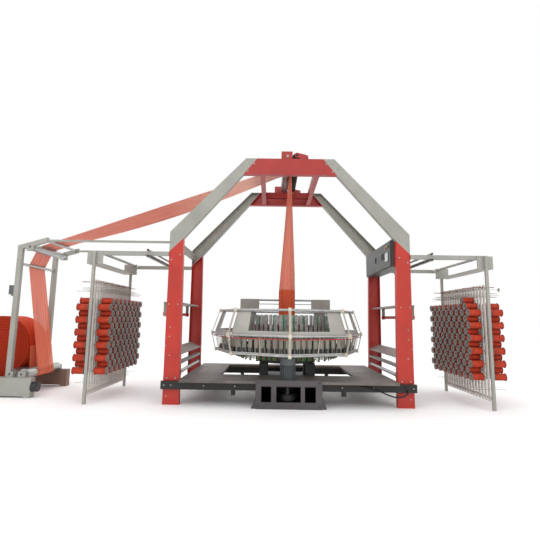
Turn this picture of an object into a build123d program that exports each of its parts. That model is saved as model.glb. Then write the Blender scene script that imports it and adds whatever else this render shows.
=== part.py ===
from build123d import *
from math import asin, atan2, cos, degrees, pi, radians, sin, sqrt, tan
import os

# Circular loom for mesh bags, with two bobbin creels and a fabric winder.
# Millimetres, +Z up, +X to the right of the operator, who stands on the -Y side.
# The origin is on the loom's axis at floor level.

# General
overrun = 10.0
running_clearance = 0.05
seat_gap = 0.3

# Main frame
frame_width = 2926.0
frame_depth = 1380.0
frame_height = 3000.0
post_foot_width = 195.0
post_top_width = 166.0
post_seam_outer_z = 1802.0
post_seam_inner_z = 1965.0
knee_z = 2046.0
arm_top_half_width = 553.0
beam_top_half_width = 414.0
beam_bottom_half_width = 582.0
beam_height = 207.0
channel_depth = 70.0
channel_wall = 6.0
cross_beam_x = 345.0
cross_beam_width = 60.0
cross_beam_height = 120.0
bearer_y = 250.0
bearer_width = 90.0
bearer_height = 80.0
knee_tie_width = 40.0
knee_tie_height = 100.0
knee_tie_z = 1945.0

# Platform
deck_length = 2500.0
deck_width = 1650.0
deck_top_z = 305.0
deck_height = 33.0
deck_plate = 6.0
deck_rim = 25.0
deck_opening_half_length = 830.0
deck_opening_front_y = -355.0
deck_opening_rear_y = 645.0
platform_beam_length = 2960.0
platform_beam_width = 40.0
platform_beam_height = 92.0
lug_x = 640.0
lug_width = 50.0
lug_drop = 55.0

# Base housing, front panel and table
housing_half_width = 360.0
housing_rear_y = 400.0
housing_height = 250.0
housing_wall = 8.0
foot_reach = 65.0
foot_height = 170.0
foot_depth = 40.0
panel_half_width = 375.0
panel_height = 315.0
panel_depth = 16.0
panel_window_height = 178.0
panel_window_z = 164.0
panel_window_widths = (112.0, 276.0, 124.0)
panel_window_centres = (-256.0, -5.0, 240.0)
panel_corner_radius = 6.0
table_radius = 385.0
table_top_z = 475.0
table_plate = 30.0
table_leg_width = 110.0
table_leg_x = 300.0
table_leg_y = 220.0

# Drive
motor_x = -10.0
motor_y = -715.0
motor_radius = 90.0
motor_top_z = 558.0
motor_cap_height = 85.0
motor_rib_depth = 6.0
motor_rib_count = 24
motor_hole_gap = 8.0
motor_shaft_radius = 19.0
motor_pulley_radius = 65.0
main_pulley_radius = 250.0
pulley_z = 110.0
pulley_width = 60.0
belt_thickness = 8.0

# Loom head
column_radius = 45.0
shaft_wall = 15.0
shaft_hole_gap = 5.0
shaft_bottom_z = 60.0
spider_z = 690.0
spider_height = 30.0
spider_hub_radius = 110.0
spider_arm_width = 40.0
shuttle_count = 4
shuttle_length = 330.0
shuttle_width = 80.0
shuttle_height = 110.0
shuttle_mean_radius = 440.0
race_inner_radius = 340.0
race_outer_radius = 520.0
race_plate = 12.0
race_gap = 120.0
race_parts = 16
race_pillar_radius = 8.0
race_pillar_count = 16
table_pillar_radius = 15.0
table_pillar_place = 362.0
table_pillar_count = 8
weaving_ring_radius = 110.0
weaving_ring_height = 30.0
weaving_ring_z = 1050.0
spreader_z = 1360.0
spreader_thickness = 12.0


# Heddles and guard
sides = 8
heddle_count = 32
heddle_radius = 600.0
heddle_band_width = 22.0
heddle_band_thickness = 4.0
heddle_bottom_z = 500.0
heddle_top_z = 1050.0
strip_radius = 640.0
strip_width = 44.0
strip_thickness = 5.0
strip_height = 300.0
tray_inner_radius = 660.0
tray_plate = 8.0
tray_arm_width = 40.0
rail_radius = 15.0
lower_ring_radius = 945.0
lower_ring_z = 590.0
mid_ring_radius = 1000.0
mid_ring_z = 810.0
top_ring_radius = 895.0
top_ring_z = 1105.0
rear_rail_z = 1290.0
rear_rail_half_length = 690.0
rear_plate_inner_x = 400.0
guard_sheet = 3.0
guard_strip_height = 60.0
guard_tall_share = 0.30
guard_corner_radius = 40.0
strap_width = 30.0
strap_thickness = 5.0
blocks_per_side = 8
block_width = 48.0
block_depth = 40.0
block_height = 50.0
fingers_per_side = 4
finger_width = 30.0
finger_thickness = 4.0
finger_inset = 90.0

# Fabric
fabric_wall = 2.5
fabric_flat_width = 360.0
fabric_top_drop = 15.0
fabric_top_half = 20.0
roll_radius = 390.0
roll_width = 400.0
roll_x = -3760.0
roll_z = 600.0

# Take-up
nip_x = 31.0
drive_roller_radius = 60.0
drive_roller_rise = 50.0
press_roller_radius = 55.0
press_roller_rise = 60.0
nip_gap = 3.4
takeup_roller_half_length = 600.0
roller_stub_radius = 18.0
bracket_thickness = 10.0
bracket_height = 110.0
bracket_slot_rise = 15.0
bracket_left_x = -110.0
bracket_right_x = 230.0
pivot_x = 190.0
pivot_rise = 35.0
pivot_radius = 12.0
link_radius = 30.0
takeup_motor_size = (150.0, 80.0, 120.0)

# Winder
winder_half_width = 370.0
winder_bar = 50.0
winder_left_x = -4400.0
winder_right_x = -3150.0
winder_box_top_z = 237.0
winder_box_width = 90.0
winder_foot_height = 20.0
winder_foot_length = 80.0
winder_post_x = -3500.0
winder_post_width = 60.0
winder_arm_top_z = 1900.0
winder_tip_x = -3130.0
winder_tip_z = 2010.0
winder_arm_height = 60.0
tip_tube_x = -3165.0
tip_tube_z = 1975.0
lower_tube_z = 1665.0
cross_tube_radius = 18.0
guide_roller_x = -3345.0
guide_roller_z = 1885.0
guide_roller_radius = 48.0
floor_roller_x = -3300.0
drum_z = 275.0
drum_radius = 60.0
pedestal_half_length = 45.0
pedestal_height = 68.0
stub_radius = 15.0
stub_length = 30.0
winder_motor_radius = 60.0
winder_motor_length = 75.0
switch_box_size = (62.0, 45.0, 116.0)
switch_box_z = 1323.0
tie_bar_size = 26.0
tie_bar_y = 395.0

# Creels
creel_x = 2347.0
creel_front_y = -737.0
creel_rear_y = 463.0
creel_post = 32.0
creel_strip_count = 16
creel_strip_pitch = 70.0
creel_strip_first_y = -662.0
creel_strip_width = 30.0
creel_strip_thickness = 4.0
creel_strip_low_z = 90.0
creel_strip_top_z = 1445.0
creel_rail_height = 30.0
creel_rail_thickness = 5.0
creel_rail_inset = 25.0
hanger_width = 190.0
hanger_top_z = 1785.0
hanger_bottom_z = 1630.0
hanger_plate = 8.0
hanger_tube_radius = 17.0
hanger_tube_offset = 60.0
creel_arm_size = 50.0
creel_arm_z = 1768.0
creel_arm_end_x = 2387.0
guide_tube_x = 1710.0
guide_tube_radius = 12.5
guide_tube_front_y = -740.0
bobbin_rows = 6
bobbin_pitch = 150.0
bobbin_first_z = 362.0
bobbin_start = 62.0
bobbin_length = 138.0
bobbin_radius = 37.0
bobbin_sides = 6
spindle_size = 8.0

# Warp guides between the posts
guide_bar_low_x = 1330.0
guide_bar_high_x = 1520.0
guide_bar_z = 1180.0
guide_bar_thickness = 20.0
bearing_plate_x = 1500.0
bearing_plate_width = 44.0
bearing_plate_thickness = 6.0
bearing_plate_inset = 20.0
bearing_plate_low_z = 1015.0
tension_roller_z = 1045.0
tension_roller_radius = 20.0
tension_cone_radius = 32.0
tension_cone_length = 70.0
tension_shaft_radius = 10.0
slant_plate_x = 1279.0
slant_plate_low_z = 565.0
slant_plate_rise = 70.0
slant_plate_run = 141.0
slant_plate_thickness = 7.0
lower_bar_x = 1277.0
lower_bar_low_z = 455.0
lower_bar_height = 30.0
lower_bar_width = 60.0
feed_roller_x = 1302.0
feed_roller_z = 357.0
feed_roller_radius = 22.0
feed_block_size = 54.0
feed_block_depth = 30.0

# Control cabinet
cabinet_inner_x = 1262.0
cabinet_outer_x = 1440.0
cabinet_low_z = 1660.0
cabinet_high_z = 2000.0
cabinet_wall = 4.0
door_thickness = 12.0
door_gap = 4.0
door_back_gap = 0.5
front_door_front_y = -600.0
front_door_rear_y = -290.0
middle_door_rear_y = 180.0
rear_cover_rear_y = 600.0
door_margin = 12.0
door_rim = 20.0
screen_low_y = -525.0
screen_high_y = -390.0
screen_low_z = 1745.0
screen_high_z = 1862.0
screen_thickness = 5.0
button_radius = 14.0
button_z = 1930.0
button_ys = (-525.0, -435.0)
button_height = 12.0
button_stem_radius = 8.0
button_travel = 4.0
button_flange = 4.0

# Derived places of the frame
half_width = frame_width / 2
half_depth = frame_depth / 2
beam_bottom_z = frame_height - beam_height
fabric_top_z = frame_height - fabric_top_drop
drive_roller_z = frame_height + drive_roller_rise
press_roller_z = frame_height + press_roller_rise
bracket_top_z = frame_height + bracket_height
bracket_low_z = frame_height + bracket_slot_rise
pivot_z = frame_height + pivot_rise
deck_bottom_z = deck_top_z - deck_height
deck_front_y = -deck_width / 2
shaft_radius = column_radius + shaft_wall
race_bottom_z = lower_ring_z + rail_radius + tray_plate
race_top_z = race_bottom_z + race_plate + race_gap


def save(piece, name):
    """Label a finished piece and write it to its own file."""
    piece.label = name
    export_step(piece, f"parts/{name}.step")


def folded_channel(outline, end):
    """A tray-shaped channel in the front (-1) or rear (1) portal, open towards the loom."""
    with BuildSketch(Plane.XZ.offset(-end * half_depth)) as web:
        Polygon(*outline, align=None)
    extrude(web.sketch, amount=end * channel_depth)
    with BuildSketch(Plane.XZ.offset(-end * (half_depth - channel_wall))) as pocket:
        Polygon(*outline, align=None)
        offset(amount=-channel_wall)
    extrude(pocket.sketch, amount=end * channel_depth, mode=Mode.SUBTRACT)


def block(low, high, mode=Mode.ADD):
    """A box between two corners."""
    size = [b - a for a, b in zip(low, high)]
    middle = [(a + b) / 2 for a, b in zip(low, high)]
    with Locations(tuple(middle)):
        Box(*size, mode=mode)


def rod_y(x, z, radius, front_y, rear_y, mode=Mode.ADD):
    """A round bar along Y."""
    with BuildSketch(Plane.XZ.offset(-front_y)) as section:
        with Locations((x, z)):
            Circle(radius)
    extrude(section.sketch, amount=front_y - rear_y, mode=mode)


def rod_x(y, z, radius, low_x, high_x, mode=Mode.ADD):
    """A round bar along X."""
    with BuildSketch(Plane.YZ.offset(low_x)) as section:
        with Locations((y, z)):
            Circle(radius)
    extrude(section.sketch, amount=high_x - low_x, mode=mode)


def ring(inner, outer, low_z, high_z, mode=Mode.ADD):
    """A flat ring about the loom's axis."""
    with BuildSketch(Plane.XY.offset(low_z)) as section:
        Circle(outer)
        Circle(inner, mode=Mode.SUBTRACT)
    extrude(section.sketch, amount=high_z - low_z, mode=mode)


os.makedirs("parts", exist_ok=True)

# Main frame: posts, knee arms and top beams of the two portals
with BuildPart() as posts:
    for end in (-1, 1):
        for side in (-1, 1):
            folded_channel(
                [
                    (side * half_width, 0),
                    (side * half_width, post_seam_outer_z),
                    (side * (half_width - post_top_width), post_seam_inner_z),
                    (side * (half_width - post_foot_width), 0),
                ],
                end,
            )
save(posts.part, "frame_posts")

with BuildPart() as arms:
    for end in (-1, 1):
        for side in (-1, 1):
            folded_channel(
                [
                    (side * half_width, post_seam_outer_z),
                    (side * half_width, knee_z),
                    (side * arm_top_half_width, frame_height),
                    (side * beam_top_half_width, frame_height),
                    (side * beam_bottom_half_width, beam_bottom_z),
                    (side * (half_width - post_top_width), post_seam_inner_z),
                ],
                end,
            )
save(arms.part, "frame_arms")

with BuildPart() as beams:
    for end in (-1, 1):
        folded_channel(
            [
                (-beam_bottom_half_width, beam_bottom_z),
                (beam_bottom_half_width, beam_bottom_z),
                (beam_top_half_width, frame_height),
                (-beam_top_half_width, frame_height),
            ],
            end,
        )
save(beams.part, "top_beams")

# Cross beams between the portals, and the bearer that spans them near the rear
cross_inner_y = half_depth - channel_wall
cross_low_z = beam_bottom_z + channel_wall
with BuildPart() as cross_beams:
    for side in (-1, 1):
        low_x = side * cross_beam_x - cross_beam_width / 2
        block(
            (low_x, -cross_inner_y, cross_low_z),
            (low_x + cross_beam_width, cross_inner_y, cross_low_z + cross_beam_height),
        )
    bearer_half = cross_beam_x - cross_beam_width / 2
    block(
        (-bearer_half, bearer_y, cross_low_z),
        (bearer_half, bearer_y + bearer_width, cross_low_z + bearer_height),
    )
    block(
        (-bearer_half, bearer_y + channel_wall, cross_low_z - overrun),
        (bearer_half, bearer_y + bearer_width - channel_wall, cross_low_z + bearer_height - channel_wall),
        mode=Mode.SUBTRACT,
    )
save(cross_beams.part, "top_cross_beams")

# Platform beams with their lugs, and the deck on them
beam_front_y = half_depth + platform_beam_width
beam_low_z = deck_bottom_z - platform_beam_height
with BuildPart() as platform_beams:
    for end in (-1, 1):
        low_y = min(end * half_depth, end * beam_front_y)
        inner_x = housing_half_width + seat_gap if end < 0 else 0
        for side in (-1, 1):
            inner, outer = side * inner_x, side * platform_beam_length / 2
            block(
                (min(inner, outer), low_y, beam_low_z),
                (max(inner, outer), low_y + platform_beam_width, deck_bottom_z),
            )
        for side in (-1, 1):
            block(
                (side * lug_x - lug_width / 2, low_y, beam_low_z - lug_drop),
                (side * lug_x + lug_width / 2, low_y + platform_beam_width, beam_low_z),
            )
save(platform_beams.part, "platform_beams")

with BuildPart() as deck:
    block(
        (-deck_length / 2, deck_front_y, deck_bottom_z),
        (deck_length / 2, -deck_front_y, deck_top_z),
    )
    fillet(deck.edges().filter_by(Axis.X).group_by(Axis.Z)[-1], radius=deck_plate * 2)
    block(
        (-deck_opening_half_length, deck_opening_front_y, deck_bottom_z - overrun),
        (deck_opening_half_length, deck_opening_rear_y, deck_top_z + overrun),
        mode=Mode.SUBTRACT,
    )
    pocket_top_z = deck_top_z - deck_plate
    for side in (-1, 1):
        inner_x = side * (deck_opening_half_length + deck_rim)
        outer_x = side * (deck_length / 2 - deck_rim)
        block(
            (min(inner_x, outer_x), deck_front_y + deck_rim, deck_bottom_z - overrun),
            (max(inner_x, outer_x), -deck_front_y - deck_rim, pocket_top_z),
            mode=Mode.SUBTRACT,
        )
    with Locations((motor_x, motor_y, deck_top_z)):
        Cylinder(motor_radius + motor_hole_gap, deck_height * 3, mode=Mode.SUBTRACT)
save(deck.part, "platform_deck")

# Base housing: an open-fronted box with slanted feet
housing_front_y = deck_front_y
with BuildPart() as housing:
    block(
        (-housing_half_width, housing_front_y, 0),
        (housing_half_width, housing_rear_y, housing_height),
    )
    block(
        (-housing_half_width + housing_wall, housing_front_y - overrun, housing_wall),
        (housing_half_width - housing_wall, housing_rear_y - housing_wall, housing_height - housing_wall),
        mode=Mode.SUBTRACT,
    )
    with Locations((0, 0, housing_height)):
        Cylinder(shaft_radius + shaft_hole_gap, housing_wall * 3, mode=Mode.SUBTRACT)
    with Locations((motor_x, motor_y, housing_height)):
        Cylinder(motor_shaft_radius + shaft_hole_gap, housing_wall * 3, mode=Mode.SUBTRACT)
    with BuildSketch(Plane.XZ.offset(-housing_front_y)):
        for side in (-1, 1):
            Polygon(
                (side * housing_half_width, 0),
                (side * (housing_half_width + foot_reach), 0),
                (side * (housing_half_width + foot_reach), housing_wall),
                (side * housing_half_width, foot_height),
                align=None,
            )
    extrude(amount=-foot_depth)
save(housing.part, "base_housing")

with BuildPart() as panel:
    block(
        (-panel_half_width, housing_front_y - panel_depth, 0),
        (panel_half_width, housing_front_y, panel_height),
    )
    with BuildSketch(Plane.XZ.offset(-housing_front_y)):
        for window_x, window_width in zip(panel_window_centres, panel_window_widths):
            with Locations((window_x, panel_window_z)):
                RectangleRounded(window_width, panel_window_height, panel_corner_radius)
    extrude(amount=panel_depth * 2, both=True, mode=Mode.SUBTRACT)
save(panel.part, "base_front_panel")

with BuildPart() as table:
    ring(shaft_radius + shaft_hole_gap, table_radius, table_top_z - table_plate, table_top_z)
    for side in (-1, 1):
        for end in (-1, 1):
            block(
                (
                    side * table_leg_x - table_leg_width / 2,
                    end * table_leg_y - table_leg_width / 2,
                    housing_height,
                ),
                (
                    side * table_leg_x + table_leg_width / 2,
                    end * table_leg_y + table_leg_width / 2,
                    table_top_z - table_plate,
                ),
            )
    with BuildSketch(Plane.XY.offset(table_top_z)):
        with PolarLocations(table_pillar_place, table_pillar_count):
            Circle(table_pillar_radius)
    extrude(amount=race_bottom_z - table_top_z)
save(table.part, "loom_table")

# Drive: ribbed vertical motor, its pulley, the belt and the main pulley with the hollow shaft
with BuildPart() as motor:
    with BuildSketch(Plane.XY.offset(housing_height)) as ribs:
        with Locations((motor_x, motor_y)):
            Circle(motor_radius - motor_rib_depth)
            with PolarLocations(motor_radius - motor_rib_depth, motor_rib_count):
                Rectangle(motor_rib_depth * 2, motor_rib_depth)
    extrude(amount=motor_top_z - motor_cap_height - housing_height)
    with BuildSketch(Plane.XY.offset(motor_top_z - motor_cap_height)):
        with Locations((motor_x, motor_y)):
            Circle(motor_radius)
    extrude(amount=motor_cap_height)
    fillet(motor.edges().group_by(Axis.Z)[-1], radius=motor_rib_depth)
    with Locations((motor_x, motor_y, housing_height)):
        Cylinder(
            motor_shaft_radius + running_clearance,
            motor_top_z - motor_cap_height - housing_height,
            align=(Align.CENTER, Align.CENTER, Align.MIN),
            mode=Mode.SUBTRACT,
        )
save(motor.part, "drive_motor")

with BuildPart() as motor_pulley:
    with Locations((motor_x, motor_y, pulley_z)):
        Cylinder(motor_pulley_radius, pulley_width)
        Cylinder(
            motor_shaft_radius,
            motor_top_z - motor_cap_height * 2 - pulley_z,
            align=(Align.CENTER, Align.CENTER, Align.MIN),
        )
save(motor_pulley.part, "motor_pulley")

with BuildPart() as belt:
    for grow, mode in ((belt_thickness, Mode.ADD), (seat_gap, Mode.SUBTRACT)):
        with BuildSketch(Plane.XY.offset(pulley_z - pulley_width / 2)):
            Circle(main_pulley_radius + grow)
            with Locations((motor_x, motor_y)):
                Circle(motor_pulley_radius + grow)
            make_hull()
        extrude(amount=pulley_width, mode=mode)
save(belt.part, "drive_belt")

with BuildPart() as main_pulley:
    with BuildSketch(Plane.XZ):
        with BuildLine():
            Polyline(
                (column_radius + running_clearance, shaft_bottom_z),
                (shaft_radius, shaft_bottom_z),
                (shaft_radius, pulley_z - pulley_width / 2),
                (main_pulley_radius, pulley_z - pulley_width / 2),
                (main_pulley_radius, pulley_z + pulley_width / 2),
                (shaft_radius, pulley_z + pulley_width / 2),
                (shaft_radius, spider_z),
                (column_radius + running_clearance, spider_z),
                close=True,
            )
        make_face()
    revolve(axis=Axis.Z)
save(main_pulley.part, "main_pulley")


def rod_between(start, end, radius, trim=0):
    """A round bar between two points, shortened at both ends."""
    run = Vector(*end) - Vector(*start)
    with BuildSketch(Plane(Vector(*start) + run.normalized() * trim, z_dir=run)) as section:
        Circle(radius)
    extrude(section.sketch, amount=run.length - 2 * trim)


def segment_ring(inner, outer, count, low_z, high_z, phase):
    """A polygonal ring of separate flat segments, given by the distances of their edges from the axis."""
    half_angle = pi / count
    half_inner = inner * tan(half_angle) - seat_gap / 2
    half_outer = outer * tan(half_angle) - seat_gap / 2
    with BuildSketch(Plane.XY.offset(low_z)) as flat:
        with PolarLocations(0, count, start_angle=phase):
            Polygon(
                (inner, -half_inner),
                (outer, -half_outer),
                (outer, half_outer),
                (inner, half_inner),
                align=None,
            )
    extrude(flat.sketch, amount=high_z - low_z)


def corner_point(radius, index, z):
    """A corner of the guard's octagon; corner 0 faces the operator."""
    angle = radians(-90 + index * 360 / sides)
    return (radius * cos(angle), radius * sin(angle), z)


# Fixed centre column with the weaving ring and the spreader disc
with BuildPart() as column:
    with BuildSketch(Plane.XZ):
        with BuildLine():
            Polyline(
                (0, housing_wall),
                (shaft_radius, housing_wall),
                (shaft_radius, shaft_bottom_z - seat_gap),
                (column_radius, shaft_bottom_z - seat_gap),
                (column_radius, weaving_ring_z - weaving_ring_height / 2),
                (weaving_ring_radius, weaving_ring_z - weaving_ring_height / 2),
                (weaving_ring_radius, weaving_ring_z + weaving_ring_height / 2),
                (column_radius, weaving_ring_z + weaving_ring_height / 2),
                (column_radius, spreader_z - spreader_thickness / 2),
                (weaving_ring_radius, spreader_z - spreader_thickness / 2),
                (weaving_ring_radius, spreader_z + spreader_thickness / 2),
                (0, spreader_z + spreader_thickness / 2),
                close=True,
            )
        make_face()
    revolve(axis=Axis.Z)
save(column.part, "centre_column")

# Pusher spider and the shuttles that it drives round the race
shuttle_inner = shuttle_mean_radius - shuttle_width / 2
shuttle_bottom_z = race_bottom_z + race_plate + seat_gap
with BuildPart() as spider:
    ring(column_radius + running_clearance, spider_hub_radius, spider_z, spider_z + spider_height)
    with BuildSketch(Plane.XY.offset(spider_z)):
        with PolarLocations(0, shuttle_count):
            with Locations(((spider_hub_radius + shuttle_inner) / 2 - overrun, 0)):
                Rectangle(shuttle_inner - spider_hub_radius + 2 * overrun, spider_arm_width)
    extrude(amount=spider_height)
save(spider.part, "pusher_spider")

with BuildPart() as shuttles:
    with BuildSketch(Plane.XY.offset(shuttle_bottom_z)):
        with PolarLocations(shuttle_mean_radius, shuttle_count):
            Polygon(
                (0, -shuttle_length / 2),
                (shuttle_width / 2, -shuttle_length / 4),
                (shuttle_width / 2, shuttle_length / 4),
                (0, shuttle_length / 2),
                (-shuttle_width / 2, shuttle_length / 4),
                (-shuttle_width / 2, -shuttle_length / 4),
                align=None,
            )
    extrude(amount=shuttle_height)
save(shuttles.part, "shuttles")

# Shuttle race: lower and upper rings of segments, with pillars between them
with BuildPart() as race:
    race_middle = race_outer_radius - 2 * race_pillar_radius
    for low_z in (race_bottom_z, race_top_z):
        segment_ring(race_inner_radius, race_outer_radius, race_parts, low_z, low_z + race_plate, 0)
    with BuildSketch(Plane.XY.offset(race_bottom_z + race_plate + seat_gap)):
        with PolarLocations(race_middle, race_pillar_count):
            Circle(race_pillar_radius)
    extrude(amount=race_gap - 2 * seat_gap)
save(race.part, "shuttle_race")

# Lower tray: an octagon of sheet segments on the lower guard ring, with arms in to the race
tray_low_z = lower_ring_z + rail_radius
tray_outer = lower_ring_radius * cos(pi / sides)
half_step = 180 / sides
with BuildPart() as tray:
    segment_ring(tray_inner_radius, tray_outer, sides, tray_low_z, race_bottom_z, half_step)
    tray_arm_start = race_outer_radius - tray_arm_width
    with BuildSketch(Plane.XY.offset(tray_low_z)):
        with PolarLocations(0, sides, start_angle=half_step):
            with Locations(((tray_arm_start + tray_inner_radius - seat_gap) / 2, 0)):
                Rectangle(tray_inner_radius - seat_gap - tray_arm_start, tray_arm_width)
    extrude(amount=tray_plate)
save(tray.part, "lower_tray")

# Heddle guides: a ring of segments at knee height and two strips beside each band
guide_low_z = race_top_z
guide_top_z = guide_low_z + tray_plate
guide_inner = heddle_radius + heddle_band_thickness / 2 + seat_gap
guide_outer = guide_inner + finger_inset + strap_width
with BuildPart() as strips:
    step = 360 / heddle_count
    segment_ring(guide_inner, guide_outer, heddle_count, guide_low_z, guide_top_z, step / 2)
    with BuildSketch(Plane.XY.offset(guide_top_z + seat_gap)):
        with PolarLocations(strip_radius, heddle_count * 2, start_angle=step / 4):
            Rectangle(strip_thickness, strip_width)
    extrude(amount=strip_height)
save(strips.part, "heddle_strips")

for parity, name in enumerate(("heddle_bands_odd", "heddle_bands_even")):
    with BuildPart() as bands:
        with BuildSketch(Plane.XY.offset(heddle_bottom_z)):
            with PolarLocations(heddle_radius, heddle_count // 2, start_angle=step * (parity + 1 / 2)):
                Rectangle(heddle_band_thickness, heddle_band_width)
        extrude(amount=heddle_top_z - heddle_bottom_z)
    save(bands.part, name)

# Warp fingers stand on the tray and carry the guide ring; tension blocks sit outside them
block_apothem = tray_outer - block_depth
with BuildPart() as fingers:
    with BuildSketch(Plane.XY.offset(race_bottom_z)):
        with PolarLocations(heddle_radius + finger_inset, sides, start_angle=half_step):
            with GridLocations(finger_width, finger_width * 3, 1, fingers_per_side):
                Rectangle(finger_thickness, finger_width)
    extrude(amount=guide_low_z - race_bottom_z)
save(fingers.part, "warp_fingers")

with BuildPart() as blocks:
    with BuildSketch(Plane.XY.offset(race_bottom_z)):
        with PolarLocations(block_apothem, sides, start_angle=half_step):
            block_pitch = 2 * block_apothem * tan(pi / sides) / (blocks_per_side + 1 / 2)
            with GridLocations(block_depth, block_pitch, 1, blocks_per_side):
                Rectangle(block_depth, block_width)
    extrude(amount=block_height)
save(blocks.part, "tension_blocks")

# Guard: three octagon rings of tube, and a raised rail at the rear
corner_trim = rail_radius * tan(pi / sides)
rear_rail_y = top_ring_radius * sin(pi / 4) + rail_radius
rear_bar_z = (top_ring_z + 2 * rear_rail_z) / 3
with BuildPart() as rails:
    for radius, z in (
        (lower_ring_radius, lower_ring_z),
        (mid_ring_radius, mid_ring_z),
        (top_ring_radius, top_ring_z),
    ):
        for side in range(sides):
            rod_between(
                corner_point(radius, side, z),
                corner_point(radius, side + 1, z),
                rail_radius,
                corner_trim + seat_gap / 2,
            )
    rod_x(rear_rail_y, rear_rail_z, rail_radius, -rear_rail_half_length, rear_rail_half_length)
    rod_x(
        rear_rail_y - rail_radius - guard_sheet / 2,
        rear_bar_z,
        guard_sheet * 2,
        -rear_plate_inner_x,
        rear_plate_inner_x,
    )
save(rails.part, "guard_rails")

# Guard plates: one sheet per upper facet with a large rounded cut-out, and two rear plates
mid_apothem = mid_ring_radius * cos(pi / sides)
top_apothem = top_ring_radius * cos(pi / sides)
slant = sqrt((mid_apothem - top_apothem) ** 2 + (top_ring_z - mid_ring_z) ** 2)
lean = (mid_apothem - top_apothem) / slant
rise = (top_ring_z - mid_ring_z) / slant
plate_margin = rail_radius
tall_at_end = (0, 1, 2, 4)
with BuildPart() as plates:
    for side in range(sides):
        angle = radians(-90 + half_step + side * 2 * half_step)
        outward = Vector(cos(angle), sin(angle), 0)
        along = Vector(-sin(angle), cos(angle), 0)
        facing = outward * rise + Vector(0, 0, lean)
        origin = outward * mid_apothem + Vector(0, 0, mid_ring_z)
        facet = Plane(origin, x_dir=along, z_dir=facing).offset(-rail_radius)
        low_half = mid_ring_radius * sin(pi / sides) - plate_margin
        top_half = top_ring_radius * sin(pi / sides) - plate_margin
        tall = guard_tall_share * low_half * 2
        end = 1 if side in tall_at_end else -1
        corner_x = end * (low_half - tall)
        with BuildSketch(facet) as sheet:
            Polygon((-low_half, 0), (low_half, 0), (top_half, slant), (-top_half, slant), align=None)
            Polygon(
                (corner_x, guard_strip_height),
                (corner_x, slant + overrun),
                (-end * (low_half + overrun), slant + overrun),
                (-end * (low_half + overrun), guard_strip_height),
                align=None,
                mode=Mode.SUBTRACT,
            )
            inner_corner = sheet.vertices().sort_by_distance(
                facet.from_local_coords(Vector(corner_x, guard_strip_height, 0))
            )[0]
            fillet(inner_corner, radius=guard_corner_radius)
        extrude(amount=-guard_sheet)
    for side in (-1, 1):
        low_x = min(side * rear_plate_inner_x, side * rear_rail_half_length)
        block(
            (low_x, rear_rail_y - rail_radius - guard_sheet, top_ring_z + rail_radius),
            (
                low_x + rear_rail_half_length - rear_plate_inner_x,
                rear_rail_y - rail_radius,
                rear_rail_z + rail_radius,
            ),
        )
save(plates.part, "guard_plates")

# Straps: bent flat bars down each corner of the guard
strap_reach = rail_radius * cos(pi / sides)
with BuildPart() as straps:
    for corner in range(sides):
        angle = radians(-90 + corner * 2 * half_step)
        radial = Vector(cos(angle), sin(angle), 0)
        sideways = Vector(sin(angle), -cos(angle), 0)
        with BuildSketch(Plane((0, 0, 0), x_dir=radial, z_dir=sideways)):
            inner = [
                (lower_ring_radius + strap_reach, lower_ring_z - rail_radius),
                (mid_ring_radius + strap_reach, mid_ring_z),
                (top_ring_radius + strap_reach, top_ring_z + rail_radius),
            ]
            outer = [(x + strap_thickness, z) for x, z in reversed(inner)]
            Polygon(*inner, *outer, align=None)
        extrude(amount=strap_width / 2, both=True)
save(straps.part, "guard_straps")


# Fabric tube: a thin wall round the weaving ring and spreader, flattened towards the nip
with BuildPart() as tube:
    tube_inner = weaving_ring_radius + seat_gap
    spread_top_z = spreader_z + spreader_thickness
    ring(tube_inner, tube_inner + fabric_wall, weaving_ring_z, spread_top_z)
    for shrink, mode in ((0, Mode.ADD), (fabric_wall, Mode.SUBTRACT)):
        with BuildSketch(Plane.XY.offset(spread_top_z)):
            Circle(tube_inner + fabric_wall - shrink)
        with BuildSketch(Plane.XY.offset(fabric_top_z)):
            with Locations((nip_x, 0)):
                Ellipse(fabric_top_half - shrink, fabric_flat_width / 2 - shrink)
        loft(mode=mode)
save(tube.part, "fabric_tube")

# Fabric web: over the take-up roller, down to the winder, round its rollers and up to the roll
drive_roller_x = nip_x - drive_roller_radius - nip_gap / 2
web_lift = fabric_wall / 2 + seat_gap
lower_tube_x = winder_post_x + winder_post_width / 2
web_turns = (
    ((drive_roller_x, drive_roller_z), drive_roller_radius + web_lift, 1),
    ((guide_roller_x, guide_roller_z), guide_roller_radius + web_lift, 1),
    ((lower_tube_x, lower_tube_z), cross_tube_radius + web_lift, 1),
    ((floor_roller_x, drum_z), drum_radius + web_lift, -1),
    ((roll_x, roll_z), roll_radius + web_lift, 1),
)


def tangent_run(first, second):
    """The straight run between two turns: its start, its end and its heading."""
    (ax, az), a_radius, a_turn = first
    (bx, bz), b_radius, b_turn = second
    distance = sqrt((bx - ax) ** 2 + (bz - az) ** 2)
    heading = atan2(bz - az, bx - ax) + asin((a_turn * a_radius - b_turn * b_radius) / distance)
    right = (sin(heading), -cos(heading))
    start = (ax + a_turn * a_radius * right[0], az + a_turn * a_radius * right[1])
    end = (bx + b_turn * b_radius * right[0], bz + b_turn * b_radius * right[1])
    return start, end, heading


with BuildPart() as web:
    with BuildSketch(Plane.XZ) as ribbon:
        with BuildLine():
            here = (drive_roller_x + web_turns[0][1], fabric_top_z + seat_gap)
            heading = pi / 2
            for first, second in zip(web_turns, web_turns[1:]):
                start, end, next_heading = tangent_run(first, second)
                centre, radius, turn = first
                arc_start = degrees(heading) - turn * 90
                swing = degrees(next_heading - heading)
                swing = swing % 360 if turn > 0 else -(-swing % 360)
                arc = CenterArc(centre, radius, arc_start, swing)
                Line(here, arc @ 0)
                here = start
                heading = next_heading
            Line(here, end)
        trace(line_width=fabric_wall)
    extrude(amount=fabric_flat_width / 2, both=True)
save(web.part, "fabric_web")

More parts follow.
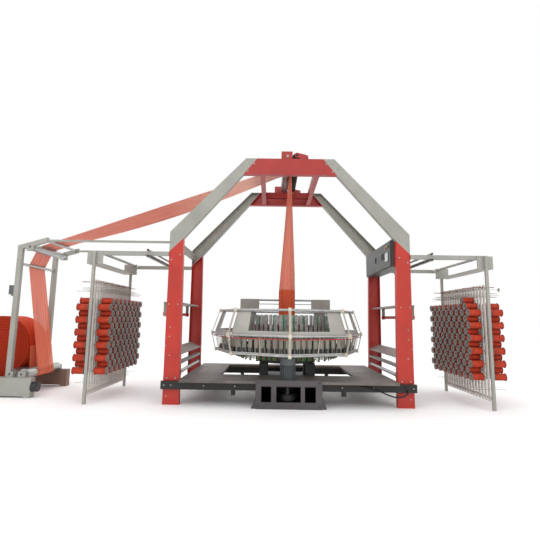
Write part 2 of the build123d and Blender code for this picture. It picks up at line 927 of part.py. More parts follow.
with BuildPart() as roll:
    rod_y(roll_x, roll_z, roll_radius, -roll_width / 2, roll_width / 2)
save(roll.part, "fabric_roll")

# Take-up brackets on the top beams, with the pivot pins of the press links
bracket_y = half_depth - channel_depth / 2
press_roller_x = drive_roller_x + sqrt(
    (drive_roller_radius + press_roller_radius + nip_gap) ** 2 - (press_roller_z - drive_roller_z) ** 2
)
link_gap = seat_gap * 5
with BuildPart() as brackets:
    for end in (-1, 1):
        with BuildSketch(Plane.XZ.offset(-end * bracket_y)):
            Polygon(
                (bracket_left_x, frame_height),
                (bracket_right_x, frame_height),
                (bracket_right_x, pivot_z + pivot_radius * 2),
                (pivot_x - pivot_radius * 2, pivot_z + pivot_radius * 2),
                (pivot_x - pivot_radius * 2, bracket_low_z),
                (nip_x, bracket_low_z),
                (nip_x, bracket_top_z),
                (bracket_left_x, bracket_top_z),
                align=None,
            )
            with Locations((drive_roller_x, drive_roller_z)):
                Circle(roller_stub_radius + running_clearance, mode=Mode.SUBTRACT)
        extrude(amount=bracket_thickness / 2, both=True)
        pin_reach = bracket_thickness * 3 / 2 + link_gap
        rod_y(pivot_x, pivot_z, pivot_radius, end * bracket_y, end * (bracket_y + pin_reach))
save(brackets.part, "takeup_brackets")

bracket_outer = bracket_y + bracket_thickness / 2
with BuildPart() as drive_roller:
    rod_y(
        drive_roller_x,
        drive_roller_z,
        drive_roller_radius,
        -takeup_roller_half_length,
        takeup_roller_half_length,
    )
    rod_y(drive_roller_x, drive_roller_z, roller_stub_radius, -bracket_outer, bracket_outer)
save(drive_roller.part, "takeup_drive_roller")

link_inner = bracket_outer + link_gap
with BuildPart() as links:
    for end in (-1, 1):
        with BuildSketch(Plane.XZ.offset(-end * link_inner)):
            with Locations((press_roller_x, press_roller_z), (pivot_x, pivot_z)):
                Circle(link_radius)
            make_hull()
            with Locations((press_roller_x, press_roller_z)):
                Circle(roller_stub_radius + running_clearance, mode=Mode.SUBTRACT)
            with Locations((pivot_x, pivot_z)):
                Circle(pivot_radius + running_clearance, mode=Mode.SUBTRACT)
        extrude(amount=-end * bracket_thickness)
save(links.part, "press_arms")

with BuildPart() as press_roller:
    rod_y(
        press_roller_x,
        press_roller_z,
        press_roller_radius,
        -takeup_roller_half_length,
        takeup_roller_half_length,
    )
    stub_end = link_inner + bracket_thickness
    rod_y(press_roller_x, press_roller_z, roller_stub_radius, -stub_end, stub_end)
save(press_roller.part, "press_roller")

with BuildPart() as takeup_motor:
    motor_low = (bracket_left_x - takeup_motor_size[0] / 2, bracket_outer + seat_gap, frame_height)
    motor_high = [a + b for a, b in zip(motor_low, takeup_motor_size)]
    block(motor_low, motor_high)
    fillet(takeup_motor.edges().filter_by(Axis.Y), radius=bracket_thickness)
save(takeup_motor.part, "takeup_motor")

# Winder side frames: base box on feet, post, sloping arm with the roller bearing, pedestals
drum_reach = roll_radius + drum_radius + seat_gap
drum_offset = sqrt(drum_reach**2 - (roll_z - drum_z) ** 2)
drum_xs = (roll_x + drum_offset, roll_x - drum_offset)
arm_slope = (winder_tip_z - winder_arm_top_z) / (winder_tip_x - winder_post_x)
post_top_z = winder_arm_top_z - winder_arm_height
for end, name in ((-1, "winder_front_frame"), (1, "winder_rear_frame")):
    inner_y = end * winder_half_width
    bar_y = end * (winder_half_width + winder_bar)
    box_y = end * (winder_half_width + winder_box_width)
    with BuildPart() as side_frame:
        block(
            (winder_left_x, min(inner_y, box_y), winder_foot_height),
            (winder_right_x, max(inner_y, box_y), winder_box_top_z),
        )
        for foot_x in (winder_left_x, winder_right_x - winder_foot_length):
            block(
                (foot_x, min(inner_y, box_y), 0),
                (foot_x + winder_foot_length, max(inner_y, box_y), winder_foot_height),
            )
        for x in (floor_roller_x, *drum_xs):
            block(
                (x - pedestal_half_length, min(inner_y, bar_y), winder_box_top_z),
                (x + pedestal_half_length, max(inner_y, bar_y), winder_box_top_z + pedestal_height),
            )
        with BuildSketch(Plane.XZ.offset(-inner_y)):
            Polygon(
                (winder_post_x, winder_box_top_z + seat_gap),
                (winder_post_x + winder_post_width, winder_box_top_z + seat_gap),
                (winder_post_x + winder_post_width, post_top_z + arm_slope * winder_post_width - seat_gap),
                (winder_post_x, post_top_z - seat_gap),
                align=None,
            )
        extrude(amount=-end * winder_bar)
        for x in (floor_roller_x, *drum_xs):
            rod_y(x, drum_z, stub_radius + running_clearance, inner_y, bar_y, mode=Mode.SUBTRACT)
        with BuildSketch(Plane.XZ.offset(-inner_y)):
            Polygon(
                (winder_post_x, post_top_z),
                (winder_tip_x, winder_tip_z - winder_arm_height),
                (winder_tip_x, winder_tip_z),
                (winder_post_x, winder_arm_top_z),
                align=None,
            )
            with Locations((guide_roller_x, guide_roller_z)):
                Rectangle(pedestal_half_length * 2, pedestal_height * 3 / 2)
                Circle(stub_radius + running_clearance, mode=Mode.SUBTRACT)
        extrude(amount=-end * winder_bar)
        if end < 0:
            half_size = [s / 2 for s in switch_box_size]
            box_x = winder_post_x - half_size[0] - seat_gap
            middle_y = (inner_y + bar_y) / 2
            block(
                (box_x - half_size[0], middle_y - half_size[1], switch_box_z - half_size[2]),
                (box_x + half_size[0], middle_y + half_size[1], switch_box_z + half_size[2]),
            )
    save(side_frame.part, name)

with BuildPart() as cross_tubes:
    for x, z in ((tip_tube_x, tip_tube_z), (lower_tube_x, lower_tube_z)):
        rod_y(x, z, cross_tube_radius, -winder_half_width, winder_half_width)
save(cross_tubes.part, "winder_cross_tubes")

roller_half = winder_half_width - seat_gap
for name, x, z, radius in (
    ("winder_guide_roller", guide_roller_x, guide_roller_z, guide_roller_radius),
    ("winder_floor_roller", floor_roller_x, drum_z, drum_radius),
    ("winding_drum_near", drum_xs[0], drum_z, drum_radius),
    ("winding_drum_far", drum_xs[1], drum_z, drum_radius),
):
    with BuildPart() as roller:
        rod_y(x, z, radius, -roller_half, roller_half)
        rod_y(x, z, stub_radius, -roller_half - stub_length, roller_half + stub_length)
    save(roller.part, name)

with BuildPart() as winder_motor:
    middle_y = -winder_half_width - winder_box_width / 2
    middle_z = (winder_foot_height + winder_box_top_z) / 2
    rod_x(middle_y, middle_z, winder_motor_radius, winder_right_x, winder_right_x + winder_motor_length)
    fillet(winder_motor.edges().group_by(Axis.X)[-1], radius=bracket_thickness)
save(winder_motor.part, "winder_motor")

# Ties: the knee tie across the left side, and two bars from it to the winder arms
tie_inner_y = half_depth - channel_depth
with BuildPart() as ties:
    block(
        (-half_width, -tie_inner_y, knee_tie_z - knee_tie_height / 2),
        (-half_width + knee_tie_width, tie_inner_y, knee_tie_z + knee_tie_height / 2),
    )
    for end in (-1, 1):
        block(
            (winder_tip_x, end * tie_bar_y - tie_bar_size / 2, knee_tie_z + tie_bar_size / 2),
            (-half_width - seat_gap, end * tie_bar_y + tie_bar_size / 2, knee_tie_z + tie_bar_size * 3 / 2),
        )
save(ties.part, "tie_bars")

# Creels, mirrored left and right
arm_low_z = creel_arm_z - creel_arm_size / 2
hanger_front_y = creel_front_y + creel_post / 2
front_arm_y = hanger_front_y + hanger_plate
rear_arm_y = half_depth - channel_depth
hanger_rear_y = creel_rear_y - creel_post / 2 - hanger_plate
with BuildPart() as creel_arms:
    for side in (-1, 1):
        for low_y in (front_arm_y, rear_arm_y):
            low_x = min(side * half_width, side * creel_arm_end_x)
            block(
                (low_x, low_y, arm_low_z),
                (low_x + creel_arm_end_x - half_width, low_y + creel_arm_size, arm_low_z + creel_arm_size),
            )
        tube_lift = guide_tube_radius + seat_gap
        for z in (arm_low_z - tube_lift, arm_low_z + creel_arm_size + tube_lift):
            rod_y(side * guide_tube_x, z, guide_tube_radius, guide_tube_front_y, rear_arm_y + creel_arm_size)
save(creel_arms.part, "creel_arms")

with BuildPart() as hangers:
    for side in (-1, 1):
        low_x = side * creel_x - hanger_width / 2
        for low_y in (hanger_front_y, hanger_rear_y):
            block(
                (low_x, low_y, hanger_bottom_z),
                (low_x + hanger_width, low_y + hanger_plate, hanger_top_z),
            )
        block(
            (low_x, front_arm_y, hanger_bottom_z),
            (low_x + hanger_width, hanger_rear_y, hanger_bottom_z + hanger_plate),
        )
        tube_x = side * (creel_x - hanger_tube_offset)
        rod_y(tube_x, creel_arm_z, hanger_tube_radius, front_arm_y + creel_arm_size, rear_arm_y)
save(hangers.part, "creel_hangers")

strip_ys = [creel_strip_first_y + i * creel_strip_pitch for i in range(creel_strip_count)]
with BuildPart() as creel_posts:
    for side in (-1, 1):
        for y, top_z in ((creel_front_y, hanger_top_z), (creel_rear_y, hanger_top_z)):
            block(
                (side * creel_x - creel_post / 2, y - creel_post / 2, 0),
                (side * creel_x + creel_post / 2, y + creel_post / 2, top_z),
            )
        rail_x = side * (creel_x + creel_strip_thickness / 2)
        top_rail_z = creel_strip_top_z - creel_rail_inset - creel_rail_height
        for z in (creel_strip_low_z + creel_rail_inset, top_rail_z):
            block(
                (
                    min(rail_x, rail_x + side * creel_rail_thickness),
                    creel_front_y + creel_post / 2 + seat_gap,
                    z,
                ),
                (
                    max(rail_x, rail_x + side * creel_rail_thickness),
                    creel_rear_y - creel_post / 2 - seat_gap,
                    z + creel_rail_height,
                ),
            )
save(creel_posts.part, "creel_posts")

# A strip carries a spindle at its edge for each pair of bobbins; alternate strips are half a pitch higher
with BuildPart() as creel_strips:
    for side in (-1, 1):
        with BuildSketch(Plane.YZ.offset(side * creel_x)):
            strip_middle_z = (creel_strip_low_z + creel_strip_top_z) / 2
            with Locations(*[(y, strip_middle_z) for y in strip_ys]):
                Rectangle(creel_strip_width, creel_strip_top_z - creel_strip_low_z)
        extrude(amount=creel_strip_thickness / 2, both=True)
save(creel_strips.part, "creel_strips")

spindle_shift = (creel_strip_width + spindle_size) / 2 + seat_gap
spindle_places = [
    (y + spindle_shift, bobbin_first_z + bobbin_pitch * (row + (column % 2) / 2))
    for column, y in enumerate(strip_ys)
    for row in range(bobbin_rows)
]
with BuildPart() as spindles:
    for side in (-1, 1):
        with BuildSketch(Plane.YZ.offset(side * creel_x)):
            with Locations(*spindle_places):
                Rectangle(spindle_size, spindle_size)
        extrude(amount=bobbin_start, both=True)
save(spindles.part, "creel_spindles")

with BuildPart() as bobbins:
    for side in (-1, 1):
        for face in (-1, 1):
            start = side * creel_x + face * (bobbin_start + seat_gap)
            with BuildSketch(Plane.YZ.offset(start)):
                with Locations(*spindle_places):
                    RegularPolygon(bobbin_radius, bobbin_sides)
            extrude(amount=face * bobbin_length)
save(bobbins.part, "creel_bobbins")

# Warp guides on each side: flat bar with bearing plates, slanted plate, lower bar, roller blocks
tie_half = half_depth - channel_depth - seat_gap
plate_y = tie_half - bearing_plate_inset
bar_low_z = guide_bar_z - guide_bar_thickness / 2
with BuildPart() as side_bars:
    for side in (-1, 1):
        block(
            (min(side * guide_bar_low_x, side * guide_bar_high_x), -tie_half, bar_low_z),
            (max(side * guide_bar_low_x, side * guide_bar_high_x), tie_half, bar_low_z + guide_bar_thickness),
        )
        for end in (-1, 1):
            with BuildSketch(Plane.XZ.offset(-end * plate_y)):
                with Locations((side * bearing_plate_x, (bearing_plate_low_z + bar_low_z - seat_gap) / 2)):
                    Rectangle(bearing_plate_width, bar_low_z - seat_gap - bearing_plate_low_z)
                with Locations((side * bearing_plate_x, tension_roller_z)):
                    Circle(tension_shaft_radius + running_clearance, mode=Mode.SUBTRACT)
            extrude(amount=bearing_plate_thickness / 2, both=True)
            with BuildSketch(Plane.XZ.offset(-end * tie_half)):
                with Locations((side * feed_roller_x, feed_roller_z)):
                    Rectangle(feed_block_size, feed_block_size)
                    Circle(tension_shaft_radius + running_clearance, mode=Mode.SUBTRACT)
            extrude(amount=end * feed_block_depth)
        with BuildSketch(Plane.XZ):
            low_x = side * slant_plate_x
            high_x = low_x + side * slant_plate_run
            high_z = slant_plate_low_z + slant_plate_rise
            Polygon(
                (low_x, slant_plate_low_z),
                (high_x, high_z),
                (high_x, high_z + slant_plate_thickness),
                (low_x, slant_plate_low_z + slant_plate_thickness),
                align=None,
            )
        extrude(amount=tie_half, both=True)
        block(
            (min(side * lower_bar_x, side * (lower_bar_x + lower_bar_width)), -tie_half, lower_bar_low_z),
            (
                max(side * lower_bar_x, side * (lower_bar_x + lower_bar_width)),
                tie_half,
                lower_bar_low_z + lower_bar_height,
            ),
        )
save(side_bars.part, "side_bars")

# Tension rollers with cones at both ends, and feed rollers near the floor
roller_end = plate_y - bearing_plate_thickness / 2 - seat_gap
shaft_end = plate_y + bearing_plate_thickness / 2
feed_end = tie_half - feed_block_depth - seat_gap
for side, prefix in ((-1, "left"), (1, "right")):
    with BuildPart() as tension_roller:
        with BuildSketch(Plane.XY):
            with BuildLine():
                Polyline(
                    (0, -shaft_end),
                    (tension_shaft_radius, -shaft_end),
                    (tension_shaft_radius, -roller_end),
                    (tension_cone_radius, -roller_end),
                    (tension_roller_radius, -roller_end + tension_cone_length),
                    (tension_roller_radius, roller_end - tension_cone_length),
                    (tension_cone_radius, roller_end),
                    (tension_shaft_radius, roller_end),
                    (tension_shaft_radius, shaft_end),
                    (0, shaft_end),
                    close=True,
                )
            make_face()
        revolve(axis=Axis.Y)
    roller_place = Pos(side * bearing_plate_x, 0, tension_roller_z)
    save(roller_place * tension_roller.part, prefix + "_tension_roller")
    with BuildPart() as feed_roller:
        rod_y(side * feed_roller_x, feed_roller_z, feed_roller_radius, -feed_end, feed_end)
        rod_y(side * feed_roller_x, feed_roller_z, tension_shaft_radius, -tie_half, tie_half)
    save(feed_roller.part, prefix + "_feed_roller")

# Control cabinet: a shell open to the inner side, with a rim round its two doors
with BuildPart() as cabinet:
    block(
        (cabinet_inner_x, -tie_half, cabinet_low_z),
        (cabinet_outer_x, tie_half, cabinet_high_z),
    )
    block(
        (cabinet_inner_x + cabinet_wall, -tie_half + cabinet_wall, cabinet_low_z + cabinet_wall),
        (cabinet_outer_x - cabinet_wall, tie_half - cabinet_wall, cabinet_high_z - cabinet_wall),
        mode=Mode.SUBTRACT,
    )
    for low_y, high_y in ((front_door_front_y, front_door_rear_y), (front_door_rear_y, middle_door_rear_y)):
        block(
            (cabinet_inner_x - overrun, low_y + door_rim, cabinet_low_z + door_rim),
            (cabinet_inner_x + cabinet_wall, high_y - door_rim, cabinet_high_z - door_rim),
            mode=Mode.SUBTRACT,
        )
    block(
        (cabinet_inner_x - door_thickness, middle_door_rear_y + door_gap, cabinet_low_z + door_margin),
        (cabinet_inner_x, rear_cover_rear_y, cabinet_high_z - door_margin),
    )
save(cabinet.part, "cabinet_body")

door_back_x = cabinet_inner_x - door_back_gap
door_front_x = door_back_x - door_thickness
with BuildPart() as middle_door:
    block(
        (door_front_x, front_door_rear_y + door_gap, cabinet_low_z + door_margin),
        (door_back_x, middle_door_rear_y, cabinet_high_z - door_margin),
    )
save(middle_door.part, "middle_door")

with BuildPart() as front_door:
    block(
        (door_front_x, front_door_front_y, cabinet_low_z + door_margin),
        (door_back_x, front_door_rear_y, cabinet_high_z - door_margin),
    )
    for y in button_ys:
        rod_x(
            y,
            button_z,
            button_stem_radius + running_clearance,
            door_front_x,
            door_back_x,
            mode=Mode.SUBTRACT,
        )
save(front_door.part, "front_door")

with BuildPart() as screen:
    block(
        (door_front_x - screen_thickness, screen_low_y, screen_low_z),
        (door_front_x, screen_high_y, screen_high_z),
    )
save(screen.part, "operator_screen")

# Push buttons: a head in front of the door on a stem through it, held by a flange behind
for y, name in zip(button_ys, ("start_button", "stop_button")):
    with BuildPart() as button:
        head_back_x = door_front_x - button_travel - seat_gap
        flange_front_x = door_back_x + seat_gap
        rod_x(y, button_z, button_radius, head_back_x - button_height, head_back_x)
        rod_x(y, button_z, button_stem_radius, head_back_x, flange_front_x)
        rod_x(y, button_z, button_radius, flange_front_x, flange_front_x + button_flange)
    save(button.part, name)
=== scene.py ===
import math

import bpy
import numpy as np
from mathutils import Matrix, Vector


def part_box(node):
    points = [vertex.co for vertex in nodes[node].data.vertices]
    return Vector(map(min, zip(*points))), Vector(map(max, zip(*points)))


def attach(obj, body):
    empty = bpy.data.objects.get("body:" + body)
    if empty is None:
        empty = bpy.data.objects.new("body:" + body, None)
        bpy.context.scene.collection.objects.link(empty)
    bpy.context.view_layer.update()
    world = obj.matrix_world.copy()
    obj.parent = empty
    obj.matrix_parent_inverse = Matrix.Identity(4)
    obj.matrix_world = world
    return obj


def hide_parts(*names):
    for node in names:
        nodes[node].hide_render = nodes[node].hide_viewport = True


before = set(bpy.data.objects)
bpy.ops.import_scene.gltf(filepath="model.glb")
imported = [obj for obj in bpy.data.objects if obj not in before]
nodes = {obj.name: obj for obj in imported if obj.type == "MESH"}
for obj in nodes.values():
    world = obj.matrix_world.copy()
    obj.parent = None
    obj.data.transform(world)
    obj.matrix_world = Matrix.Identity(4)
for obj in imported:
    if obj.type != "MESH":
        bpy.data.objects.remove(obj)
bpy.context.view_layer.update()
rng = np.random.default_rng(7)

# Axis and radius of the wound roll, and the top of the winder's base boxes, in metres
ROLL_X, ROLL_Z, ROLL_R = -3.760, 0.600, 0.390
WINDER_BASE_TOP = 0.237


# Materials

def shade(rgb):
    """Linear colour from 0-255 values."""
    out = []
    for c in rgb:
        c /= 255
        out.append(c / 12.92 if c <= 0.04045 else ((c + 0.055) / 1.055) ** 2.4)
    return (*out, 1)


def new_material(name, rough, metallic=0.0):
    mat = bpy.data.materials.new(name)
    mat.use_nodes = True
    tree = mat.node_tree
    bsdf = tree.nodes["Principled BSDF"]
    bsdf.inputs["Roughness"].default_value = rough
    bsdf.inputs["Metallic"].default_value = metallic
    return mat, tree, bsdf


def noise(tree, scale, detail=4.0, stretch=(1, 1, 1)):
    coords = tree.nodes.new("ShaderNodeTexCoord")
    mapping = tree.nodes.new("ShaderNodeMapping")
    mapping.inputs["Scale"].default_value = stretch
    tex = tree.nodes.new("ShaderNodeTexNoise")
    tex.inputs["Scale"].default_value = scale
    tex.inputs["Detail"].default_value = detail
    tree.links.new(coords.outputs["Object"], mapping.inputs["Vector"])
    tree.links.new(mapping.outputs["Vector"], tex.inputs["Vector"])
    return tex.outputs["Fac"]


def ramp(tree, fac, stops):
    node = tree.nodes.new("ShaderNodeValToRGB")
    elements = node.color_ramp.elements
    while len(elements) < len(stops):
        elements.new(0.5)
    for element, (place, colour) in zip(elements, stops):
        element.position = place
        element.color = colour
    tree.links.new(fac, node.inputs["Fac"])
    return node.outputs["Color"]


def bump(tree, bsdf, height, strength, distance):
    node = tree.nodes.new("ShaderNodeBump")
    node.inputs["Strength"].default_value = strength
    node.inputs["Distance"].default_value = distance
    tree.links.new(height, node.inputs["Height"])
    tree.links.new(node.outputs["Normal"], bsdf.inputs["Normal"])


def rough_range(tree, bsdf, fac, low, high):
    node = tree.nodes.new("ShaderNodeMapRange")
    node.inputs["To Min"].default_value = low
    node.inputs["To Max"].default_value = high
    tree.links.new(fac, node.inputs["Value"])
    tree.links.new(node.outputs["Result"], bsdf.inputs["Roughness"])


def painted(name, rgb, rough=0.42, spread=0.10, metallic=0.0, grain=180.0, stretch=(1, 1, 1)):
    """Paint or metal with cloudy tone, uneven gloss and a fine surface grain."""
    mat, tree, bsdf = new_material(name, rough, metallic)
    cloud = noise(tree, 3.0, 6.0, stretch)
    dark = shade([c * (1 - spread) for c in rgb])
    light = shade([min(255, c * (1 + spread * 0.6)) for c in rgb])
    tree.links.new(ramp(tree, cloud, [(0.30, dark), (0.70, light)]), bsdf.inputs["Base Color"])
    rough_range(tree, bsdf, noise(tree, 22.0, 4.0, stretch), rough - 0.08, rough + 0.12)
    bump(tree, bsdf, noise(tree, grain, 2.0, stretch), 0.05, 0.001)
    return mat


RED = painted("red_paint", (180, 45, 31), 0.42, 0.07)
BEAM_RED = painted("beam_red_paint", (162, 48, 42), 0.42, 0.08)
GREY = painted("grey_paint", (152, 152, 144), 0.45, 0.06)
PALE = painted("pale_paint", (156, 155, 147), 0.45, 0.05)
DARK = painted("dark_paint", (26, 26, 23), 0.48, 0.15)
PANEL = painted("panel_paint", (76, 71, 73), 0.45, 0.14)
MOTOR = painted("motor_paint", (84, 94, 96), 0.45, 0.12)
STEEL = painted("brushed_steel", (170, 170, 168), 0.32, 0.10, 0.9, 60.0, (1, 14, 1))
CAST = painted("cast_iron", (80, 80, 80), 0.62, 0.20, 0.6, 300.0)
ALUMINIUM = painted("aluminium", (186, 186, 182), 0.38, 0.08, 0.85, 90.0)
RUBBER = painted("rubber", (32, 32, 32), 0.75, 0.20)
GREEN = painted("green_band", (12, 150, 84), 0.55, 0.12)
CREAM = painted("cream_paint", (176, 170, 156), 0.45, 0.06)
CLAMP = painted("strap_clamp", (212, 203, 182), 0.45, 0.06)
BLACK = painted("black_plastic", (30, 31, 33), 0.40, 0.15)
SCREEN = painted("screen_glass", (38, 46, 54), 0.12, 0.10)
GREEN_BUTTON = painted("green_button", (30, 150, 60), 0.30, 0.08)
RED_BUTTON = painted("red_button", (190, 30, 30), 0.30, 0.08)
FLANGE = painted("bobbin_flange", (106, 101, 95), 0.45, 0.12)
RED_FLANGE = painted("bobbin_red_flange", (150, 44, 32), 0.45, 0.12)
PLATE = painted("guard_plate", (164, 161, 154), 0.48, 0.07)
CABINET = painted("cabinet_paint", (62, 62, 60), 0.45, 0.06)
WIRE = painted("guide_wire", (150, 146, 140), 0.40, 0.10, 0.6)
YELLOW = painted("yellow_button", (214, 170, 40), 0.30, 0.06)
SLAT = painted("guide_slat", (164, 156, 142), 0.45, 0.10)
STRIP = painted("creel_strip", (210, 204, 198), 0.45, 0.06)
BAR = painted("guide_bar", (136, 128, 122), 0.45, 0.10)
PEG = painted("red_peg", (124, 44, 40), 0.40, 0.12)
SWITCH = painted("switch_grey", (84, 89, 92), 0.42, 0.08)
BROWN = painted("shed_box", (92, 30, 22), 0.50, 0.20)
AMBER = painted("amber_hook", (176, 112, 34), 0.45, 0.12)
GLASS_GREY = painted("screen_face", (168, 170, 168), 0.15, 0.05)


def deck_plate():
    """Worn chequer plate: slanted raised bars from two crossed waves."""
    mat, tree, bsdf = new_material("chequer_plate", 0.5, 0.5)
    cloud = noise(tree, 2.5, 6.0)
    tree.links.new(
        ramp(tree, cloud, [(0.30, shade((90, 85, 81))), (0.70, shade((130, 122, 117)))]),
        bsdf.inputs["Base Color"],
    )
    coords = tree.nodes.new("ShaderNodeTexCoord")
    heights = []
    for turn in (45, -45):
        mapping = tree.nodes.new("ShaderNodeMapping")
        mapping.inputs["Rotation"].default_value = (0, 0, math.radians(turn))
        wave = tree.nodes.new("ShaderNodeTexWave")
        wave.inputs["Scale"].default_value = 14.0
        tree.links.new(coords.outputs["Object"], mapping.inputs["Vector"])
        tree.links.new(mapping.outputs["Vector"], wave.inputs["Vector"])
        heights.append(wave.outputs["Fac"])
    product = tree.nodes.new("ShaderNodeMath")
    product.operation = "MULTIPLY"
    for height, socket in zip(heights, product.inputs):
        tree.links.new(height, socket)
    bump(tree, bsdf, product.outputs["Value"], 0.6, 0.004)
    rough_range(tree, bsdf, noise(tree, 12.0), 0.42, 0.68)
    return mat


def yarn(name, rgb, scale, direction):
    """Wound yarn: fine ridges across the winding direction, with uneven tone."""
    mat, tree, bsdf = new_material(name, 0.6)
    cloud = noise(tree, 30.0, 4.0)
    dark = shade([c * 0.78 for c in rgb])
    light = shade([min(255, c * 1.10) for c in rgb])
    tree.links.new(ramp(tree, cloud, [(0.25, dark), (0.75, light)]), bsdf.inputs["Base Color"])
    coords = tree.nodes.new("ShaderNodeTexCoord")
    wave = tree.nodes.new("ShaderNodeTexWave")
    wave.bands_direction = direction
    wave.inputs["Scale"].default_value = scale
    wave.inputs["Distortion"].default_value = 1.5
    tree.links.new(coords.outputs["Object"], wave.inputs["Vector"])
    bump(tree, bsdf, wave.outputs["Fac"], 0.5, 0.002)
    bsdf.inputs["Specular IOR Level"].default_value = 0.25
    return mat


def wound_roll(name, dark, light, scale):
    """Cloth wound on the roll: rings of layers about its axis, with a mottled tone."""
    mat, tree, bsdf = new_material(name, 0.62)
    coords = tree.nodes.new("ShaderNodeTexCoord")
    mapping = tree.nodes.new("ShaderNodeMapping")
    mapping.inputs["Location"].default_value = (-ROLL_X, 0, -ROLL_Z)
    wave = tree.nodes.new("ShaderNodeTexWave")
    wave.wave_type = "RINGS"
    wave.rings_direction = "Y"
    wave.inputs["Scale"].default_value = scale
    wave.inputs["Distortion"].default_value = 4.0
    wave.inputs["Detail"].default_value = 3.0
    wave.inputs["Detail Scale"].default_value = 2.0
    tree.links.new(coords.outputs["Object"], mapping.inputs["Vector"])
    tree.links.new(mapping.outputs["Vector"], wave.inputs["Vector"])
    tone = ramp(tree, wave.outputs["Fac"], [(0.10, shade(dark)), (0.60, shade(light))])
    tree.links.new(tone, bsdf.inputs["Base Color"])
    bump(tree, bsdf, wave.outputs["Fac"], 0.18, 0.004)
    bsdf.inputs["Specular IOR Level"].default_value = 0.12
    return mat


def mesh_cloth(name, rgb, cells, cover, painted_sheen_reach=0.0):
    """Open woven net on UVs in metres; the last argument is how far along it a painted highlight, a pale
    sheen mixed into its colour, reaches from its start.
    """
    mat, tree, bsdf = new_material(name, 0.55)
    coords = tree.nodes.new("ShaderNodeTexCoord")
    mapping = tree.nodes.new("ShaderNodeMapping")
    mapping.inputs["Scale"].default_value = (70, 1.2, 1)
    streak = tree.nodes.new("ShaderNodeTexNoise")
    streak.inputs["Scale"].default_value = 1.0
    streak.inputs["Detail"].default_value = 4.0
    tree.links.new(coords.outputs["UV"], mapping.inputs["Vector"])
    tree.links.new(mapping.outputs["Vector"], streak.inputs["Vector"])
    dark = shade([c * 0.86 for c in rgb])
    light = shade([min(255, c * 1.08) for c in rgb])
    tone = ramp(tree, streak.outputs["Fac"], [(0.30, dark), (0.70, light)])
    if painted_sheen_reach:
        # Painted highlight: pale colour mixed in along the streaks, full near the start of the cloth and
        # gone at the reach
        place = tree.nodes.new("ShaderNodeSeparateXYZ")
        near = tree.nodes.new("ShaderNodeMapRange")
        near.inputs["From Min"].default_value = painted_sheen_reach
        near.inputs["From Max"].default_value = painted_sheen_reach * 0.3
        painted_sheen_mask = tree.nodes.new("ShaderNodeMath")
        painted_sheen_mask.operation = "MULTIPLY"
        blend = tree.nodes.new("ShaderNodeMix")
        blend.data_type = "RGBA"
        tree.links.new(coords.outputs["UV"], place.inputs["Vector"])
        tree.links.new(place.outputs["Y"], near.inputs["Value"])
        tree.links.new(near.outputs["Result"], painted_sheen_mask.inputs[0])
        tree.links.new(streak.outputs["Fac"], painted_sheen_mask.inputs[1])
        tree.links.new(painted_sheen_mask.outputs["Value"], blend.inputs["Factor"])
        tree.links.new(tone, blend.inputs["A"])
        blend.inputs["B"].default_value = shade((255, 226, 206))
        tone = blend.outputs["Result"]
    tree.links.new(tone, bsdf.inputs["Base Color"])
    threads = []
    for direction in ("X", "Y"):
        wave = tree.nodes.new("ShaderNodeTexWave")
        wave.bands_direction = direction
        wave.inputs["Scale"].default_value = cells
        tree.links.new(coords.outputs["UV"], wave.inputs["Vector"])
        threads.append(wave.outputs["Fac"])
    top = tree.nodes.new("ShaderNodeMath")
    top.operation = "MAXIMUM"
    for thread, socket in zip(threads, top.inputs):
        tree.links.new(thread, socket)
    opacity = tree.nodes.new("ShaderNodeMapRange")
    opacity.inputs["From Min"].default_value = 0.35
    opacity.inputs["From Max"].default_value = 0.75
    opacity.inputs["To Min"].default_value = cover
    tree.links.new(top.outputs["Value"], opacity.inputs["Value"])
    tree.links.new(opacity.outputs["Result"], bsdf.inputs["Alpha"])
    bump(tree, bsdf, top.outputs["Value"], 0.4, 0.002)
    bsdf.inputs["Specular IOR Level"].default_value = 0.15
    return mat


def clear_strip():
    """Milky plastic strips with scuffs."""
    mat, tree, bsdf = new_material("clear_strip", 0.28)
    cloud = noise(tree, 16.0, 5.0)
    tree.links.new(
        ramp(tree, cloud, [(0.30, shade((108, 103, 101))), (0.70, shade((172, 168, 165)))]),
        bsdf.inputs["Base Color"],
    )
    bsdf.inputs["Alpha"].default_value = 0.66
    rough_range(tree, bsdf, noise(tree, 40.0), 0.20, 0.40)
    return mat


def colour_split_at_height(name, low_rgb, high_rgb, split):
    """One colour below a height and another above it."""
    mat, tree, bsdf = new_material(name, 0.5)
    coords = tree.nodes.new("ShaderNodeTexCoord")
    place = tree.nodes.new("ShaderNodeSeparateXYZ")
    tree.links.new(coords.outputs["Object"], place.inputs["Vector"])
    tone = ramp(tree, place.outputs["Z"], [(split, shade(low_rgb)), (split + 0.002, shade(high_rgb))])
    tree.links.new(tone, bsdf.inputs["Base Color"])
    rough_range(tree, bsdf, noise(tree, 22.0, 4.0), 0.42, 0.60)
    return mat


DECK = deck_plate()
# Rear winder frame: a brownish colour below the top of its base boxes and pale grey above it
REAR_FRAME = colour_split_at_height("rear_frame_split_colour", (130, 104, 90), (156, 155, 147), WINDER_BASE_TOP)
CLEAR = clear_strip()
BOBBIN = yarn("bobbin_yarn", (186, 60, 34), 70.0, "X")
ROLL = wound_roll("roll_side", (194, 64, 24), (202, 70, 27), 14.0)
ROLL_END = wound_roll("roll_end", (136, 33, 10), (156, 42, 14), 9.0)
WEB = mesh_cloth("web_cloth", (246, 122, 90), 160.0, 0.74, 1.9)
TUBE = mesh_cloth("tube_cloth", (222, 120, 95), 160.0, 0.28)
DENSE_TUBE = mesh_cloth("dense_tube_cloth", (198, 82, 52), 160.0, 0.88)

